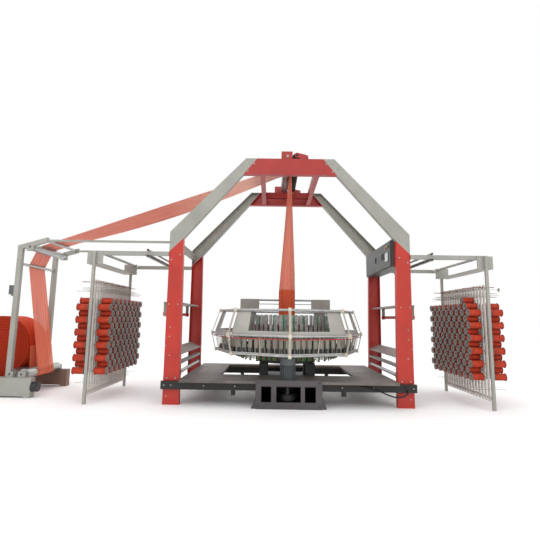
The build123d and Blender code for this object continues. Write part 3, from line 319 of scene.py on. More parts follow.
BY_MATERIAL = {
    RED: "frame_posts left_tension_roller right_tension_roller",
    BEAM_RED: "top_beams top_cross_beams takeup_brackets press_arms takeup_motor",
    GREY: "frame_arms creel_arms",
    CABINET: "cabinet_body middle_door front_door",
    PALE: "winder_front_frame creel_posts creel_hangers tie_bars",
    REAR_FRAME: "winder_rear_frame",
    STRIP: "creel_strips",
    DARK: "platform_beams",
    BAR: "side_bars",
    DECK: "platform_deck",
    PANEL: "base_housing base_front_panel",
    CAST: "loom_table main_pulley motor_pulley",
    MOTOR: "drive_motor",
    RUBBER: "drive_belt press_roller",
    STEEL: "centre_column pusher_spider shuttle_race takeup_drive_roller winder_guide_roller "
    "winder_floor_roller winding_drum_near winding_drum_far left_feed_roller right_feed_roller "
    "winder_cross_tubes creel_spindles guard_rails",
    ALUMINIUM: "shuttles lower_tray warp_fingers",
    CREAM: "guard_straps",
    PLATE: "guard_plates",
    CLEAR: "heddle_strips",
    GREEN: "heddle_bands_odd heddle_bands_even",
    BLACK: "tension_blocks winder_motor",
    SCREEN: "operator_screen",
    GREEN_BUTTON: "start_button",
    RED_BUTTON: "stop_button",
}
for material, names in BY_MATERIAL.items():
    for name in names.split():
        nodes[name].data.materials.clear()
        nodes[name].data.materials.append(material)


# Geometry helpers

def add_mesh(name, verts, faces, materials, body, slots=None, smooth=True, uvs=None):
    mesh = bpy.data.meshes.new(name)
    mesh.from_pydata([tuple(v) for v in verts], [], [tuple(f) for f in faces])
    for material in materials:
        mesh.materials.append(material)
    if slots is not None:
        mesh.polygons.foreach_set("material_index", slots)
    if smooth:
        mesh.polygons.foreach_set("use_smooth", [True] * len(mesh.polygons))
    if uvs is not None:
        layer = mesh.uv_layers.new(name="UVMap")
        for loop in mesh.loops:
            layer.data[loop.index].uv = uvs[loop.vertex_index]
    mesh.update()
    obj = bpy.data.objects.new(name, mesh)
    bpy.context.scene.collection.objects.link(obj)
    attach(obj, body)
    return obj


def grid_faces(rows, columns, closed):
    faces = []
    last = columns if closed else columns - 1
    for r in range(rows - 1):
        for c in range(last):
            d = (c + 1) % columns
            faces.append((r * columns + c, r * columns + d, (r + 1) * columns + d, (r + 1) * columns + c))
    return faces


def lathe(profile, sides):
    """Vertices and faces of a profile of (along, radius) turned about local Z, open at its ends."""
    verts = []
    for along, radius in profile:
        for k in range(sides):
            a = 2 * math.pi * k / sides
            verts.append((radius * math.cos(a), radius * math.sin(a), along))
    return np.array(verts), grid_faces(len(profile), sides, True)


def many(name, verts, faces, slots, matrices, materials, body, smooth=True):
    """One object made of copies of a small shape."""
    all_verts, all_faces, all_slots = [], [], []
    for matrix in matrices:
        start = len(all_verts)
        m = np.array(matrix)
        all_verts.extend(verts @ m[:3, :3].T + m[:3, 3])
        all_faces.extend([tuple(i + start for i in f) for f in faces])
        all_slots.extend(slots)
    return add_mesh(name, all_verts, all_faces, materials, body, all_slots, smooth)


def aim(place, direction):
    """A matrix that carries local Z to a direction, at a place."""
    turn = Vector(direction).to_track_quat("Z", "Y").to_matrix().to_4x4()
    return Matrix.Translation(place) @ turn


# Bobbins on both faces of both creels: a yarn package between two flanges, and one odd bobbin on the right
CREEL_X = 2.347
CREEL_COLUMNS = 16
CREEL_ROWS = 6
STRIP_FIRST_Y = -0.662
STRIP_PITCH = 0.070
SPINDLE_SHIFT = 0.0193
FIRST_Z = 0.362
ROW_PITCH = 0.150
BOBBIN_START = 0.0623
TIP_START = 0.130
BOBBIN_SIDES = 12
NEAR_FLANGE = {0, 1, 2}
FAR_FLANGE = {7, 8, 9, 10, 11}

profile = [
    (0.000, 0.006), (0.000, 0.046), (0.004, 0.046), (0.005, 0.038), (0.010, 0.0395),
    (0.060, 0.0405), (0.127, 0.0395), (0.132, 0.038), (0.134, 0.046), (0.138, 0.046),
    (0.138, 0.012), (0.130, 0.010), (0.130, 0.001),
]
bobbin_verts, bobbin_faces = lathe(profile, BOBBIN_SIDES)
places = {-1: [], 1: []}
tips = []
for side in (-1, 1):
    for face in (-1, 1):
        for column in range(CREEL_COLUMNS):
            for row in range(CREEL_ROWS):
                y = STRIP_FIRST_Y + column * STRIP_PITCH + SPINDLE_SHIFT
                z = FIRST_Z + ROW_PITCH * (row + (column % 2) / 2)
                x = side * CREEL_X + face * BOBBIN_START
                places[-side * face].append(aim((x, y, z), (face, 0, 0)))
                tips.append((x + face * TIP_START, y, z, face))
y_odd = STRIP_FIRST_Y + 2 * STRIP_PITCH + SPINDLE_SHIFT
z_odd = FIRST_Z + CREEL_ROWS * ROW_PITCH
places[1].append(aim((CREEL_X - BOBBIN_START, y_odd, z_odd), (-1, 0, 0)))
tips.append((CREEL_X - BOBBIN_START - TIP_START, y_odd, z_odd, -1))
for loomward, name in ((1, "inner_bobbins"), (-1, "outer_bobbins")):
    near_slot, far_slot = (2, 1) if loomward > 0 else (1, 2)
    steps = [i // BOBBIN_SIDES for i in range(len(bobbin_faces))]
    slots = [near_slot if k in NEAR_FLANGE else far_slot if k in FAR_FLANGE else 0 for k in steps]
    bobbins = many(
        name, bobbin_verts, bobbin_faces, slots, places[loomward], [BOBBIN, FLANGE, RED_FLANGE], "machine"
    )
    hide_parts("creel_bobbins")


# Cloth tube from the weaving ring to the nip, gathered in soft pleats
RING_R = 0.1118
TUBE_LOW = 1.050
TUBE_STRAIGHT = 1.372
TUBE_TOP = 2.985
NIP_X = 0.031
NIP_HALF_X = 0.0185
NIP_HALF_Y = 0.1785
PLEAT_DEPTH = 0.0035
UV_GIRTH = 0.72
DENSE_MARGIN = 0.02
TUBE_COLUMNS = 160
TUBE_ROWS = 90
tube_verts, tube_uvs = [], []
for r in range(TUBE_ROWS):
    t = r / (TUBE_ROWS - 1)
    z = TUBE_LOW + (TUBE_TOP - TUBE_LOW) * t
    s = max(0.0, (z - TUBE_STRAIGHT) / (TUBE_TOP - TUBE_STRAIGHT))
    half_x = RING_R * (1 - s) + NIP_HALF_X * s
    half_y = RING_R * (1 - s) + NIP_HALF_Y * s
    fold = PLEAT_DEPTH * min(1.0, s * 6) * (1 - s * 0.6)
    for c in range(TUBE_COLUMNS):
        a = 2 * math.pi * c / TUBE_COLUMNS
        wave = fold * (math.sin(9 * a + 1.3) + 0.6 * math.sin(14 * a + 4 * s))
        tube_verts.append((NIP_X * s + (half_x + wave) * math.cos(a), (half_y + wave) * math.sin(a), z))
        tube_uvs.append((c / TUBE_COLUMNS * UV_GIRTH, z))
tube_faces = grid_faces(TUBE_ROWS, TUBE_COLUMNS, True)
dense = [1 if tube_verts[f[0]][2] < TUBE_STRAIGHT + DENSE_MARGIN else 0 for f in tube_faces]
tube = add_mesh("cloth_tube", tube_verts, tube_faces, [TUBE, DENSE_TUBE], "machine", dense, uvs=tube_uvs)
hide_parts("fabric_tube")

# Flat web from the nip to the roll: centre, radius with the cloth's lift, and turning sense of each roller
LIFT = 0.00155
WEB_START_Z = 2.9853
WEB_WIDTH = 0.36
WEB_COLUMNS = 41
WEB_STEP = 0.05
ARC_STEPS = 16
FREE_START = 0.30
RIPPLE, RIPPLE_SPAN = 0.004, 3.3
SAG, SAG_SPAN = 0.080, 3.05
TURNS = [
    ((-0.0307, 3.050), 0.060 + LIFT, 1),
    ((-3.345, 1.885), 0.048 + LIFT, 1),
    ((-3.470, 1.665), 0.018 + LIFT, 1),
    ((-3.300, 0.275), 0.060 + LIFT, -1),
    ((ROLL_X, ROLL_Z), ROLL_R + LIFT, 1),
]


def tangent_run(first, second):
    """Ends and heading of the straight run between two rollers."""
    (ax, az), ar, at = first
    (bx, bz), br, bt = second
    gap = math.hypot(bx - ax, bz - az)
    heading = math.atan2(bz - az, bx - ax) + math.asin((at * ar - bt * br) / gap)
    right = (math.sin(heading), -math.cos(heading))
    start = (ax + at * ar * right[0], az + at * ar * right[1])
    end = (bx + bt * br * right[0], bz + bt * br * right[1])
    return start, end, heading


def bulge(along, span):
    """Rises from 0 to 1 and falls back over the free run from the take-up to the guide roller."""
    return math.sin(math.pi * min(1.0, max(0.0, (along - FREE_START) / span)))


path = [(TURNS[0][0][0] + TURNS[0][1], WEB_START_Z)]
heading = math.pi / 2
for first, second in zip(TURNS, TURNS[1:]):
    start, end, following = tangent_run(first, second)
    (cx, cz), radius, turn = first
    swing = (following - heading) % (2 * math.pi) if turn > 0 else -((heading - following) % (2 * math.pi))
    begin = heading - turn * math.pi / 2
    for k in range(ARC_STEPS + 1):
        a = begin + swing * k / ARC_STEPS
        path.append((cx + radius * math.cos(a), cz + radius * math.sin(a)))
    runs = max(2, int(math.hypot(end[0] - start[0], end[1] - start[1]) / WEB_STEP))
    for k in range(1, runs + 1):
        t = k / runs
        path.append((start[0] + (end[0] - start[0]) * t, start[1] + (end[1] - start[1]) * t))
    heading = following
web_verts, web_uvs = [], []
length = 0.0
for i, (x, z) in enumerate(path):
    if i:
        length += math.hypot(x - path[i - 1][0], z - path[i - 1][1])
    free = RIPPLE * bulge(length, RIPPLE_SPAN)
    for c in range(WEB_COLUMNS):
        y = -WEB_WIDTH / 2 + WEB_WIDTH * c / (WEB_COLUMNS - 1)
        ripple = free * math.sin(38 * y + 1.1 * length)
        sag = SAG * bulge(length, SAG_SPAN) * ((y + WEB_WIDTH / 2) / WEB_WIDTH) ** 1.3
        web_verts.append((x, y, z + ripple - sag))
        web_uvs.append((y, length))
web = add_mesh(
    "cloth_web", web_verts, grid_faces(len(path), WEB_COLUMNS, False), [WEB], "machine", uvs=web_uvs
)
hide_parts("fabric_web")

# Wound roll: layered edges on both ends and slight waists round its side
ROLL_LAYERS = 60
ROLL_WAISTS = 24
ROLL_SIDES = 96
ROLL_EDGE = 0.192
ROLL_FACE = 0.197
WAIST_START, WAIST_SPAN = -0.185, 0.370
CORE_R = 0.03
LAYER_SPAN = ROLL_R - 0.031
AXIS_R = 0.001
RIM_INSET = 0.001
FACE_PLAY = 0.0030
SIDE_PLAY = 0.0012
profile = [(-ROLL_EDGE, AXIS_R)]
for k in range(ROLL_LAYERS):
    radius = CORE_R + LAYER_SPAN * k / (ROLL_LAYERS - 1)
    profile.append((-ROLL_FACE - FACE_PLAY * rng.random(), radius))
profile.append((-ROLL_EDGE, ROLL_R))
for k in range(ROLL_WAISTS):
    along = WAIST_START + WAIST_SPAN * k / (ROLL_WAISTS - 1)
    profile.append((along, ROLL_R - SIDE_PLAY * rng.random()))
profile.append((ROLL_EDGE, ROLL_R))
for k in range(ROLL_LAYERS):
    radius = ROLL_R - RIM_INSET - LAYER_SPAN * k / (ROLL_LAYERS - 1)
    profile.append((ROLL_FACE + FACE_PLAY * rng.random(), radius))
profile.append((ROLL_EDGE, AXIS_R))
roll_verts, roll_faces = lathe(profile, ROLL_SIDES)
side_steps = range(ROLL_LAYERS + 1, ROLL_LAYERS + ROLL_WAISTS + 2)
roll_slots = [0 if i // ROLL_SIDES in side_steps else 1 for i in range(len(roll_faces))]
roll = many(
    "cloth_roll", roll_verts, roll_faces, roll_slots,
    [aim((ROLL_X, 0, ROLL_Z), (0, 1, 0))], [ROLL, ROLL_END], "cloth_roll",
)
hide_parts("fabric_roll")


# Bolts: hexagon heads on the frame, the beams and the base panel, then the seam round the motor
POST_FACE_Y = 0.690
BEAM_FACE_Y = 0.730
BEAM_BOLT_Z = 0.226
PANEL_BOLT_X, PANEL_BOLT_HEIGHTS = 0.345, (0.035, 0.292)
BOLT_RADIUS, BOLT_HEIGHT = 0.009, 0.006
SMALL_BOLT_RADIUS, SMALL_BOLT_HEIGHT = 0.008, 0.005
SEAM_BOLTS = ((1.43, 1.70), (1.33, 1.76), (1.43, 1.92), (1.35, 1.98), (1.42, 0.30), (1.32, 0.30))
TOP_BOLTS = ((0.45, 2.93), (0.53, 2.83), (0.60, 2.87), (0.54, 2.94))
POST_BOLTS = (
    (1.44, 1.16), (1.33, 1.16), (1.41, 0.89), (1.41, 0.78), (1.45, 0.67), (1.40, 0.56), (1.42, 0.10),
)
BEAM_BOLTS = (1.44, 1.36, 0.98, 0.62)
MOTOR_AXIS = (-0.010, -0.715, 0)
SEAM_SIDES = 48


def bolts(name, places, directions, radius, height, material, body):
    """Hexagon heads at places, each pointing along its own direction."""
    head = [(0, radius), (height * 0.85, radius), (height, radius * 0.85), (height, 0.0002)]
    verts, faces = lathe(head, 6)
    matrices = [aim(p, d) for p, d in zip(places, directions)]
    return many(name, verts, faces, [0] * len(faces), matrices, [material], body, smooth=False)


spots, ways = [], []
for side in (-1, 1):
    for end in (-1, 1):
        for x, z in SEAM_BOLTS + TOP_BOLTS:
            spots.append((side * x, end * POST_FACE_Y, z))
            ways.append((0, end, 0))
bolts("frame_bolts", spots, ways, BOLT_RADIUS, BOLT_HEIGHT, STEEL, "machine")
spots, ways = [], []
for side in (-1, 1):
    for end in (-1, 1):
        for x, z in POST_BOLTS:
            spots.append((side * x, end * POST_FACE_Y, z))
            ways.append((0, end, 0))
        for x in BEAM_BOLTS:
            spots.append((side * x, end * BEAM_FACE_Y, BEAM_BOLT_Z))
            ways.append((0, end, 0))
bolts("post_bolts", spots, ways, SMALL_BOLT_RADIUS, SMALL_BOLT_HEIGHT, STEEL, "machine")
panel_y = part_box("base_front_panel")[0][1]
spots = [(side * PANEL_BOLT_X, panel_y, z) for side in (-1, 1) for z in PANEL_BOLT_HEIGHTS]
ways = [(0, -1, 0)] * len(spots)
bolts("panel_bolts", spots, ways, SMALL_BOLT_RADIUS, SMALL_BOLT_HEIGHT, BLACK, "machine")
seam_profile = [(0.470, 0.0885), (0.471, 0.0912), (0.475, 0.0912), (0.476, 0.0885)]
seam_verts, seam_faces = lathe(seam_profile, SEAM_SIDES)
seam_place = [Matrix.Translation(MOTOR_AXIS)]
many("motor_seam", seam_verts, seam_faces, [0] * len(seam_faces), seam_place, [BLACK], "machine")


def rods(name, pairs, radius, material, body, sides=6):
    """Thin round wires between pairs of points, closed at their ends."""
    verts, faces = [], []
    for a, b in pairs:
        a, b = Vector(a), Vector(b)
        turn = np.array((b - a).to_track_quat("Z", "Y").to_matrix())
        start = len(verts)
        for point in (a, b):
            for k in range(sides):
                angle = 2 * math.pi * k / sides
                ring_point = turn @ np.array((radius * math.cos(angle), radius * math.sin(angle), 0))
                verts.append(tuple(ring_point + np.array(point)))
        for k in range(sides):
            d = (k + 1) % sides
            faces.append((start + k, start + d, start + sides + d, start + sides + k))
        faces.append(tuple(start + k for k in reversed(range(sides))))
        faces.append(tuple(start + sides + k for k in range(sides)))
    return add_mesh(name, verts, faces, [material], body, smooth=False)


def octagon(radius, z):
    """Corners of the guard's eight sides, with the first one again at the end."""
    return [
        (radius * math.cos(math.radians(-90 + 45 * k)), radius * math.sin(math.radians(-90 + 45 * k)), z)
        for k in range(9)
    ]


# Red guide ring under the middle rail, warp wires and mid posts on the lower facets
GUIDE_RING_R, GUIDE_RING_Z = 1.000, 0.775
FACET_LOW_R, FACET_LOW_Z = 0.940, 0.600
FACET_TOP_R, FACET_TOP_Z = 0.985, 0.800
WIRE_STEPS = 12
ring_points = octagon(GUIDE_RING_R, GUIDE_RING_Z)
rods("red_guide_ring", list(zip(ring_points, ring_points[1:])), 0.005, RED, "machine")
low_ring, mid_ring = octagon(FACET_LOW_R, FACET_LOW_Z), octagon(FACET_TOP_R, FACET_TOP_Z)
wires, posts = [], []
for k in range(8):
    for j in range(1, WIRE_STEPS):
        t = j / WIRE_STEPS
        low = Vector(low_ring[k]).lerp(Vector(low_ring[k + 1]), t)
        high = Vector(mid_ring[k]).lerp(Vector(mid_ring[k + 1]), t)
        (posts if 2 * j == WIRE_STEPS else wires).append((low, high))
rods("warp_wires", wires, 0.0028, WIRE, "machine", 5)
rods("facet_posts", posts, 0.009, CREAM, "machine", 4)

# Reed blades between the race rings, weft packages on the spider and rollers under the bands
REED_COUNT = 144
REED_R, REED_LOW, REED_TOP = 0.508, 0.626, 0.744
WEFT_SIDES = 20
WEFT_R, WEFT_Z = 0.24, 0.7205
BANDS_PER_SET, BAND_PITCH = 16, 22.5
HEDDLE_R, BAND_ROLLER_Z, BAND_ROLLER_HALF = 0.600, 0.492, 0.012
blades = []
for k in range(REED_COUNT):
    a = 2 * math.pi * k / REED_COUNT
    x, y = REED_R * math.cos(a), REED_R * math.sin(a)
    blades.append(((x, y, REED_LOW), (x, y, REED_TOP)))
rods("reed_blades", blades, 0.003, CAST, "machine", 4)
weft_profile = [
    (0.0, 0.004), (0.0, 0.042), (0.006, 0.042), (0.007, 0.036),
    (0.175, 0.032), (0.176, 0.012), (0.195, 0.011), (0.195, 0.001),
]
weft_verts, weft_faces = lathe(weft_profile, WEFT_SIDES)
weft_slots = [0 if 2 <= i // WEFT_SIDES <= 4 else 1 for i in range(len(weft_faces))]
weft_places = []
for a in (0, math.pi / 2, math.pi, 3 * math.pi / 2):
    weft_places.append(Matrix.Translation((WEFT_R * math.cos(a), WEFT_R * math.sin(a), WEFT_Z)))
many("weft_packages", weft_verts, weft_faces, weft_slots, weft_places, [BOBBIN, FLANGE], "rotor")
for parity, body in enumerate(("odd_heddles", "even_heddles")):
    ends = []
    for k in range(BANDS_PER_SET):
        a = math.radians(BAND_PITCH / 2 * (parity + 0.5) + BAND_PITCH * k)
        middle = Vector((HEDDLE_R * math.cos(a), HEDDLE_R * math.sin(a), BAND_ROLLER_Z))
        along = Vector((-math.sin(a), math.cos(a), 0)) * BAND_ROLLER_HALF
        ends.append((middle - along, middle + along))
    rods("band_rollers_" + body, ends, 0.009, BLACK, body, 10)

# Corner numbers of a box's six faces
BOX_FACES = ((0, 2, 3, 1), (4, 5, 7, 6), (0, 1, 5, 4), (2, 6, 7, 3), (0, 4, 6, 2), (1, 3, 7, 5))


def turned_boxes(name, items, material, body, centre=(0, 0, 0)):
    """Boxes given by angle, middle radius, sideways place, low z and size, turned about an upright axis."""
    cube = np.array([(x, y, z) for z in (0, 1) for y in (-0.5, 0.5) for x in (-0.5, 0.5)])
    matrices = []
    for angle, radius, sideways, low, size in items:
        place = Matrix.Translation((radius, sideways, low)) @ Matrix.Diagonal((*size, 1))
        matrices.append(Matrix.Translation(centre) @ Matrix.Rotation(angle, 4, "Z") @ place)
    return many(name, cube, BOX_FACES, [0] * len(BOX_FACES), matrices, [material], body, smooth=False)


# Loom head: guide slats on the tray, clamps on the straps, shed boxes on the race, hooks under the tray
TRAY_LOW_Z, TRAY_TOP_Z = 0.607, 0.6132
SLAT_R, SLAT_PITCH, SLATS_PER_SIDE = 0.812, 0.078, 9
SLAT_SIZE = (0.004, 0.046, 0.150)
CLAMP_SIZE = (0.022, 0.034, 0.050)
CLAMP_PLACES = ((0.9600, 0.566), (1.0150, 0.786), (0.9100, 1.081))
SHED_COUNT, SHED_R, SHED_LOW = 32, 0.492, 0.7573
SHED_SIZE = (0.050, 0.070, 0.165)
HOOK_COUNT, HOOK_R, HOOK_LOW, HOOK_PLAY = 180, 0.672, 0.506, 0.018
RING_SIDES = 96
slats, clamps = [], []
for k in range(8):
    middle = math.radians(-67.5 + 45 * k)
    corner = math.radians(-90 + 45 * k)
    for j in range(SLATS_PER_SIDE):
        slats.append((middle, SLAT_R, (j - SLATS_PER_SIDE // 2) * SLAT_PITCH, TRAY_TOP_Z, SLAT_SIZE))
    for radius, low in CLAMP_PLACES:
        clamps.append((corner, radius, 0.0, low, CLAMP_SIZE))
turned_boxes("guide_slats", slats, SLAT, "machine")
turned_boxes("strap_clamps", clamps, CLAMP, "machine")
sheds = [(math.radians(360 / SHED_COUNT * k), SHED_R, 0.0, SHED_LOW, SHED_SIZE) for k in range(SHED_COUNT)]
turned_boxes("shed_boxes", sheds, BROWN, "machine")
HOOKS = ((BLACK, "dark_hooks"), (AMBER, "amber_hooks"), (GREEN, "green_hooks"))
for shift, (material, name) in enumerate(HOOKS):
    hooks = []
    for k in range(shift, HOOK_COUNT, len(HOOKS)):
        a = 2 * math.pi * (k + 0.5) / HOOK_COUNT
        x, y = HOOK_R * math.cos(a), HOOK_R * math.sin(a)
        low = HOOK_LOW + HOOK_PLAY * rng.random()
        hooks.append(((x, y, low), (x, y, TRAY_LOW_Z)))
    rods(name, hooks, 0.006, material, "machine", 6)

# Painted shade: thin black strips in the valleys between the motor's ribs, then the band and the ring that
# carry the hooks
VALLEY_SHADE_COUNT, VALLEY_SHADE_R, VALLEY_SHADE_LOW = 24, 0.0850, 0.318
VALLEY_SHADE_SIZE = (0.0016, 0.013, 0.152)
valley_shades = [(math.radians(7.5 + 15 * k), VALLEY_SHADE_R, 0.0, VALLEY_SHADE_LOW, VALLEY_SHADE_SIZE) for k in range(VALLEY_SHADE_COUNT)]
turned_boxes("motor_valley_shade", valley_shades, BLACK, "machine", MOTOR_AXIS)
HERE = [Matrix.Identity(4)]
band_profile = [(0.548, 0.6620), (0.548, 0.6675), (0.590, 0.6675), (0.590, 0.6620), (0.548, 0.6620)]
band_verts, band_faces = lathe(band_profile, RING_SIDES)
many("hook_band", band_verts, band_faces, [0] * len(band_faces), HERE, [BROWN], "machine")
ring_profile = [(0.586, 0.6615), (0.586, 0.6680), (0.6055, 0.6680), (0.6055, 0.6615)]
ring_verts, ring_faces = lathe(ring_profile, RING_SIDES)
many("hook_ring", ring_verts, ring_faces, [0] * len(ring_faces), HERE, [AMBER], "machine")

# Creel: spindle tips, the spindle of the odd bobbin, pegs and guide wires through the strips
TIP_LENGTH = 0.026
PEG_Z, PEG_HALF, PEG_PLAY = 1.415, 0.13, 0.03
WIRE_RADIUS, WIRE_REACH, WIRE_PLAY, WIRE_DROOP = 0.0024, 0.15, 0.07, 0.012
EVEN_WIRE_HEIGHTS, ODD_WIRE_HEIGHTS = (1.345, 1.305, 0.225), (1.325,)
spindles = [((x, y, z), (x + face * TIP_LENGTH, y, z)) for x, y, z, face in tips]
spindles.append(((CREEL_X, y_odd, z_odd), (CREEL_X - BOBBIN_START - TIP_START, y_odd, z_odd)))
rods("spindle_tips", spindles, 0.004, ALUMINIUM, "machine", 6)
pegs, thin = [], []
for side in (-1, 1):
    for column in range(CREEL_COLUMNS):
        y = STRIP_FIRST_Y + column * STRIP_PITCH
        x = side * CREEL_X
        if column % 3 == 0:
            shift = PEG_PLAY * rng.random()
            pegs.append(((x - PEG_HALF - shift, y, PEG_Z), (x + PEG_HALF - shift, y, PEG_Z)))
        for z in EVEN_WIRE_HEIGHTS if column % 2 == 0 else ODD_WIRE_HEIGHTS:
            reach = WIRE_REACH + WIRE_PLAY * rng.random()
            droop = WIRE_DROOP * (rng.random() - 0.5)
            thin.append(((x - reach, y, z + droop), (x + reach, y, z - droop)))
rods("creel_pegs", pegs, 0.005, PEG, "machine", 6)
rods("creel_wires", thin, WIRE_RADIUS, WIRE, "machine", 5)

# A wire with a pale disc, at the front of the right creel
DISC_Y, DISC_Z = STRIP_FIRST_Y + 0.006, 1.389
DISC_REACH, DISC_WIRE_REACH = 0.178, 0.200
DISC_SIDES = 24
disc_wire = [((CREEL_X, DISC_Y, DISC_Z), (CREEL_X + DISC_WIRE_REACH, DISC_Y, DISC_Z))]
rods("disc_wire", disc_wire, WIRE_RADIUS, WIRE, "machine", 5)
disc_profile = [(0, 0.002), (0, 0.020), (0.003, 0.024), (0.006, 0.020), (0.006, 0.002)]
disc_verts, disc_faces = lathe(disc_profile, DISC_SIDES)
disc_place = [aim((CREEL_X + DISC_REACH, DISC_Y, DISC_Z), (1, 0, 0))]
many("wire_disc", disc_verts, disc_faces, [0] * len(disc_faces), disc_place, [CREAM], "machine")


def boxes(name, items, material, body):
    """Upright boxes, each given by its low and high corner."""
    verts, faces = [], []
    for (ax, ay, az), (bx, by, bz) in items:
        start = len(verts)
        verts += [(x, y, z) for z in (az, bz) for y in (ay, by) for x in (ax, bx)]
        for f in BOX_FACES:
            faces.append(tuple(start + i for i in f))
    return add_mesh(name, verts, faces, [material], body, smooth=False)


# Creel strips: folded lips and screws on the face towards the loom
STRIP_FACE, LIP_DEPTH, LIP_SHEET = 0.002, 0.014, 0.002
LIP_LOW, LIP_TOP = 0.090, 1.445
LIP_EDGES = (-0.015, 0.013)
SCREW_RADIUS, SCREW_HEIGHT = 0.006, 0.004
SCREW_PLACES = (0.13, 0.18, 0.27, 1.25, 1.31, 1.37, 1.43)
lips = []
for side in (-1, 1):
    face_x = side * (CREEL_X - STRIP_FACE)
    lip_x = side * (CREEL_X - LIP_DEPTH)
    for column in range(CREEL_COLUMNS):
        y = STRIP_FIRST_Y + column * STRIP_PITCH
        for edge in LIP_EDGES:
            low = (min(face_x, lip_x), y + edge, LIP_LOW)
            high = (max(face_x, lip_x), y + edge + LIP_SHEET, LIP_TOP)
            lips.append((low, high))
boxes("strip_lips", lips, STRIP, "machine")
spots, ways = [], []
for side in (-1, 1):
    for column in range(CREEL_COLUMNS):
        for z in SCREW_PLACES:
            spots.append((side * (CREEL_X - STRIP_FACE), STRIP_FIRST_Y + column * STRIP_PITCH, z))
            ways.append((-side, 0, 0))
bolts("strip_screws", spots, ways, SCREW_RADIUS, SCREW_HEIGHT, CAST, "machine")

# Winder: cover and cable gland of the switch box
SWITCH_LOW, SWITCH_HIGH = (-3.5629, -0.4181, 1.2643), (-3.5002, -0.3719, 1.3817)
GLAND_TOP, GLAND_LOW = (-3.531, -0.395, 1.2650), (-3.531, -0.395, 1.243)
boxes("switch_cover", [(SWITCH_LOW, SWITCH_HIGH)], SWITCH, "machine")
rods("switch_gland", [(GLAND_TOP, GLAND_LOW)], 0.012, PALE, "machine", 12)

# Cabinet: locks, screen face and lamp on the doors
DOOR_X = 1.2495
LOCK_LOW, LOCK_TOP, LOCK_DEPTH, LOCK_HALF = 1.795, 1.875, 0.010, 0.013
locks = []
for y in (-0.245, 0.06):
    locks.append(((DOOR_X - LOCK_DEPTH, y - LOCK_HALF, LOCK_LOW), (DOOR_X, y + LOCK_HALF, LOCK_TOP)))
boxes("middle_door_locks", locks, BLACK, "middle_door")
screen_face = [((DOOR_X - 0.0062, -0.515, 1.755), (DOOR_X - 0.0049, -0.400, 1.852))]
boxes("screen_face", screen_face, GLASS_GREY, "front_door")
front_lock = [((DOOR_X - LOCK_DEPTH, -0.345, LOCK_LOW), (DOOR_X, -0.319, LOCK_TOP))]
boxes("front_door_lock", front_lock, BLACK, "front_door")
lamp_ends = [((DOOR_X, -0.480, 1.930), (DOOR_X - 0.012, -0.480, 1.930))]
rods("signal_lamp", lamp_ends, 0.012, YELLOW, "front_door", 14)

# Guide tubes beside the posts: black end caps and comb plates
GUIDE_TUBE_X = 1.710
GUIDE_TUBE_HEIGHTS = (1.7302, 1.8058)
CAP_FRONT_Y, CAP_BACK_Y = -0.7405, -0.728
COMB_HALF_X, COMB_HALF_Y, COMB_LOW, COMB_TOP = 0.040, 0.720, 1.7428, 1.7458
caps, combs = [], []
for side in (-1, 1):
    x = side * GUIDE_TUBE_X
    for z in GUIDE_TUBE_HEIGHTS:
        caps.append(((x, CAP_FRONT_Y, z), (x, CAP_BACK_Y, z)))
    combs.append(((x - COMB_HALF_X, -COMB_HALF_Y, COMB_LOW), (x + COMB_HALF_X, COMB_HALF_Y, COMB_TOP)))
rods("tube_caps", caps, 0.0135, BLACK, "machine", 12)
boxes("guide_combs", combs, BAR, "machine")

# Cable under the deck's front edge, hanging in a loop below the beam and going back into it
ROUTE = [
    (0.560, -0.748, 0.276), (0.700, -0.748, 0.260), (0.880, -0.748, 0.244), (1.020, -0.748, 0.208),
    (1.130, -0.748, 0.158), (1.230, -0.748, 0.128), (1.325, -0.748, 0.138), (1.372, -0.748, 0.182),
    (1.368, -0.748, 0.226), (1.345, -0.740, 0.250), (1.315, -0.722, 0.256),
]
CABLE_RADIUS = 0.008
cable_curve = bpy.data.curves.new("beam_cable", "CURVE")
cable_curve.dimensions = "3D"
cable_curve.bevel_depth = CABLE_RADIUS
cable_curve.bevel_resolution = 4
cable_curve.resolution_u = 12
cable_curve.use_fill_caps = True
spline = cable_curve.splines.new("NURBS")
spline.points.add(len(ROUTE) - 1)
for point, place in zip(spline.points, ROUTE):
    point.co = (*place, 1)
spline.order_u = 3
spline.use_endpoint_u = True
cable_curve.materials.append(RUBBER)
cable = bpy.data.objects.new("beam_cable", cable_curve)
bpy.context.scene.collection.objects.link(cable)
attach(cable, "machine")

# Studio: floor, light, white surround and the camera of the photograph
floor_mat, _, floor_bsdf = new_material("floor", 0.9)
floor_bsdf.inputs["Base Color"].default_value = (0.97, 0.97, 0.97, 1)
floor_mesh = bpy.data.meshes.new("floor")
FLOOR_HALF = 40
floor_corners = [(x * FLOOR_HALF, y * FLOOR_HALF, 0) for x, y in ((-1, -1), (1, -1), (1, 1), (-1, 1))]
floor_mesh.from_pydata(floor_corners, [], [(0, 1, 2, 3)])
floor_mesh.materials.append(floor_mat)
floor = bpy.data.objects.new("floor", floor_mesh)
bpy.context.scene.collection.objects.link(floor)


def area_light(name, place, target, size, power):
    data = bpy.data.lights.new(name, "AREA")
    data.size = size
    data.energy = power
    lamp = bpy.data.objects.new(name, data)
    lamp.location = place
    lamp.rotation_euler = (Vector(target) - Vector(place)).to_track_quat("-Z", "Y").to_euler()
    bpy.context.scene.collection.objects.link(lamp)


area_light("key", (-3.5, -6.0, 6.0), (-0.8, 0, 1.2), 5.0, 120)
area_light("fill", (5.0, -5.0, 4.0), (0.5, 0, 1.2), 5.0, 55)
area_light("top", (-0.8, 0.5, 7.5), (-0.8, 0, 0), 6.0, 60)
area_light("back", (0.0, 6.5, 5.0), (-0.8, 0, 1.4), 5.0, 60)

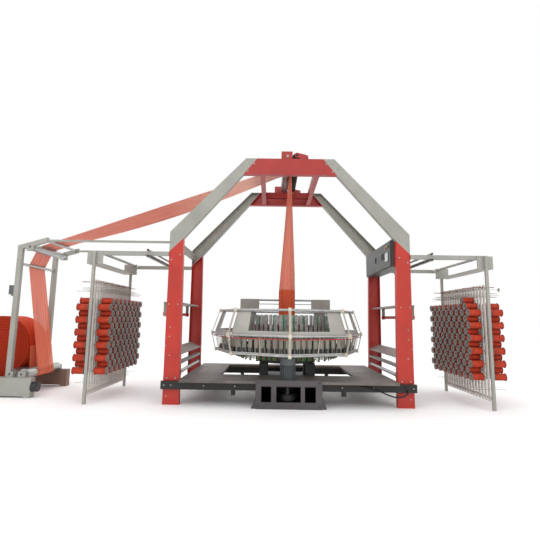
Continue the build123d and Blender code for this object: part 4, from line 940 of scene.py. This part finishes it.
# World: even light that is brighter from above, and plain white where camera, gloss or glass look at it
world = bpy.data.worlds.new("studio")
bpy.context.scene.world = world
world.use_nodes = True
tree = world.node_tree
tree.nodes.clear()
light_path = tree.nodes.new("ShaderNodeLightPath")
seen = None
for ray in ("Is Camera Ray", "Is Glossy Ray", "Is Transmission Ray"):
    if seen is None:
        seen = light_path.outputs[ray]
        continue
    either = tree.nodes.new("ShaderNodeMath")
    either.operation = "MAXIMUM"
    tree.links.new(seen, either.inputs[0])
    tree.links.new(light_path.outputs[ray], either.inputs[1])
    seen = either.outputs["Value"]
ambient = tree.nodes.new("ShaderNodeBackground")
ambient.inputs["Color"].default_value = (1, 1, 1, 1)
sky = tree.nodes.new("ShaderNodeTexCoord")
split = tree.nodes.new("ShaderNodeSeparateXYZ")
lift = tree.nodes.new("ShaderNodeMapRange")
lift.inputs["To Min"].default_value = 0.66
lift.inputs["To Max"].default_value = 1.26
tree.links.new(sky.outputs["Generated"], split.inputs["Vector"])
tree.links.new(split.outputs["Z"], lift.inputs["Value"])
tree.links.new(lift.outputs["Result"], ambient.inputs["Strength"])
white = tree.nodes.new("ShaderNodeBackground")
white.inputs["Color"].default_value = (1, 1, 1, 1)
white.inputs["Strength"].default_value = 1.0
mix = tree.nodes.new("ShaderNodeMixShader")
output = tree.nodes.new("ShaderNodeOutputWorld")
tree.links.new(seen, mix.inputs[0])
tree.links.new(ambient.outputs[0], mix.inputs[1])
tree.links.new(white.outputs[0], mix.inputs[2])
tree.links.new(mix.outputs[0], output.inputs["Surface"])

# Camera fitted to the photograph: its place, and its right, up and back axes
CAMERA_PLACE = (-0.2072, -5.2428, 1.0023)
camera_data = bpy.data.cameras.new("camera")
camera_data.lens = 25.32
camera_data.sensor_width = 36.0
camera_data.clip_end = 100
camera = bpy.data.objects.new("camera", camera_data)
bpy.context.scene.collection.objects.link(camera)
right = Vector((0.99988, 0.0040, 0.01458))
up = Vector((-0.01395, -0.12763, 0.99172))
back = -Vector((-0.00580, 0.99182, 0.12753))
axes = Matrix((right, up, back)).transposed().to_4x4()
camera.matrix_world = Matrix.Translation(CAMERA_PLACE) @ axes
bpy.context.scene.camera = camera
bpy.context.scene.view_settings.view_transform = "Standard"
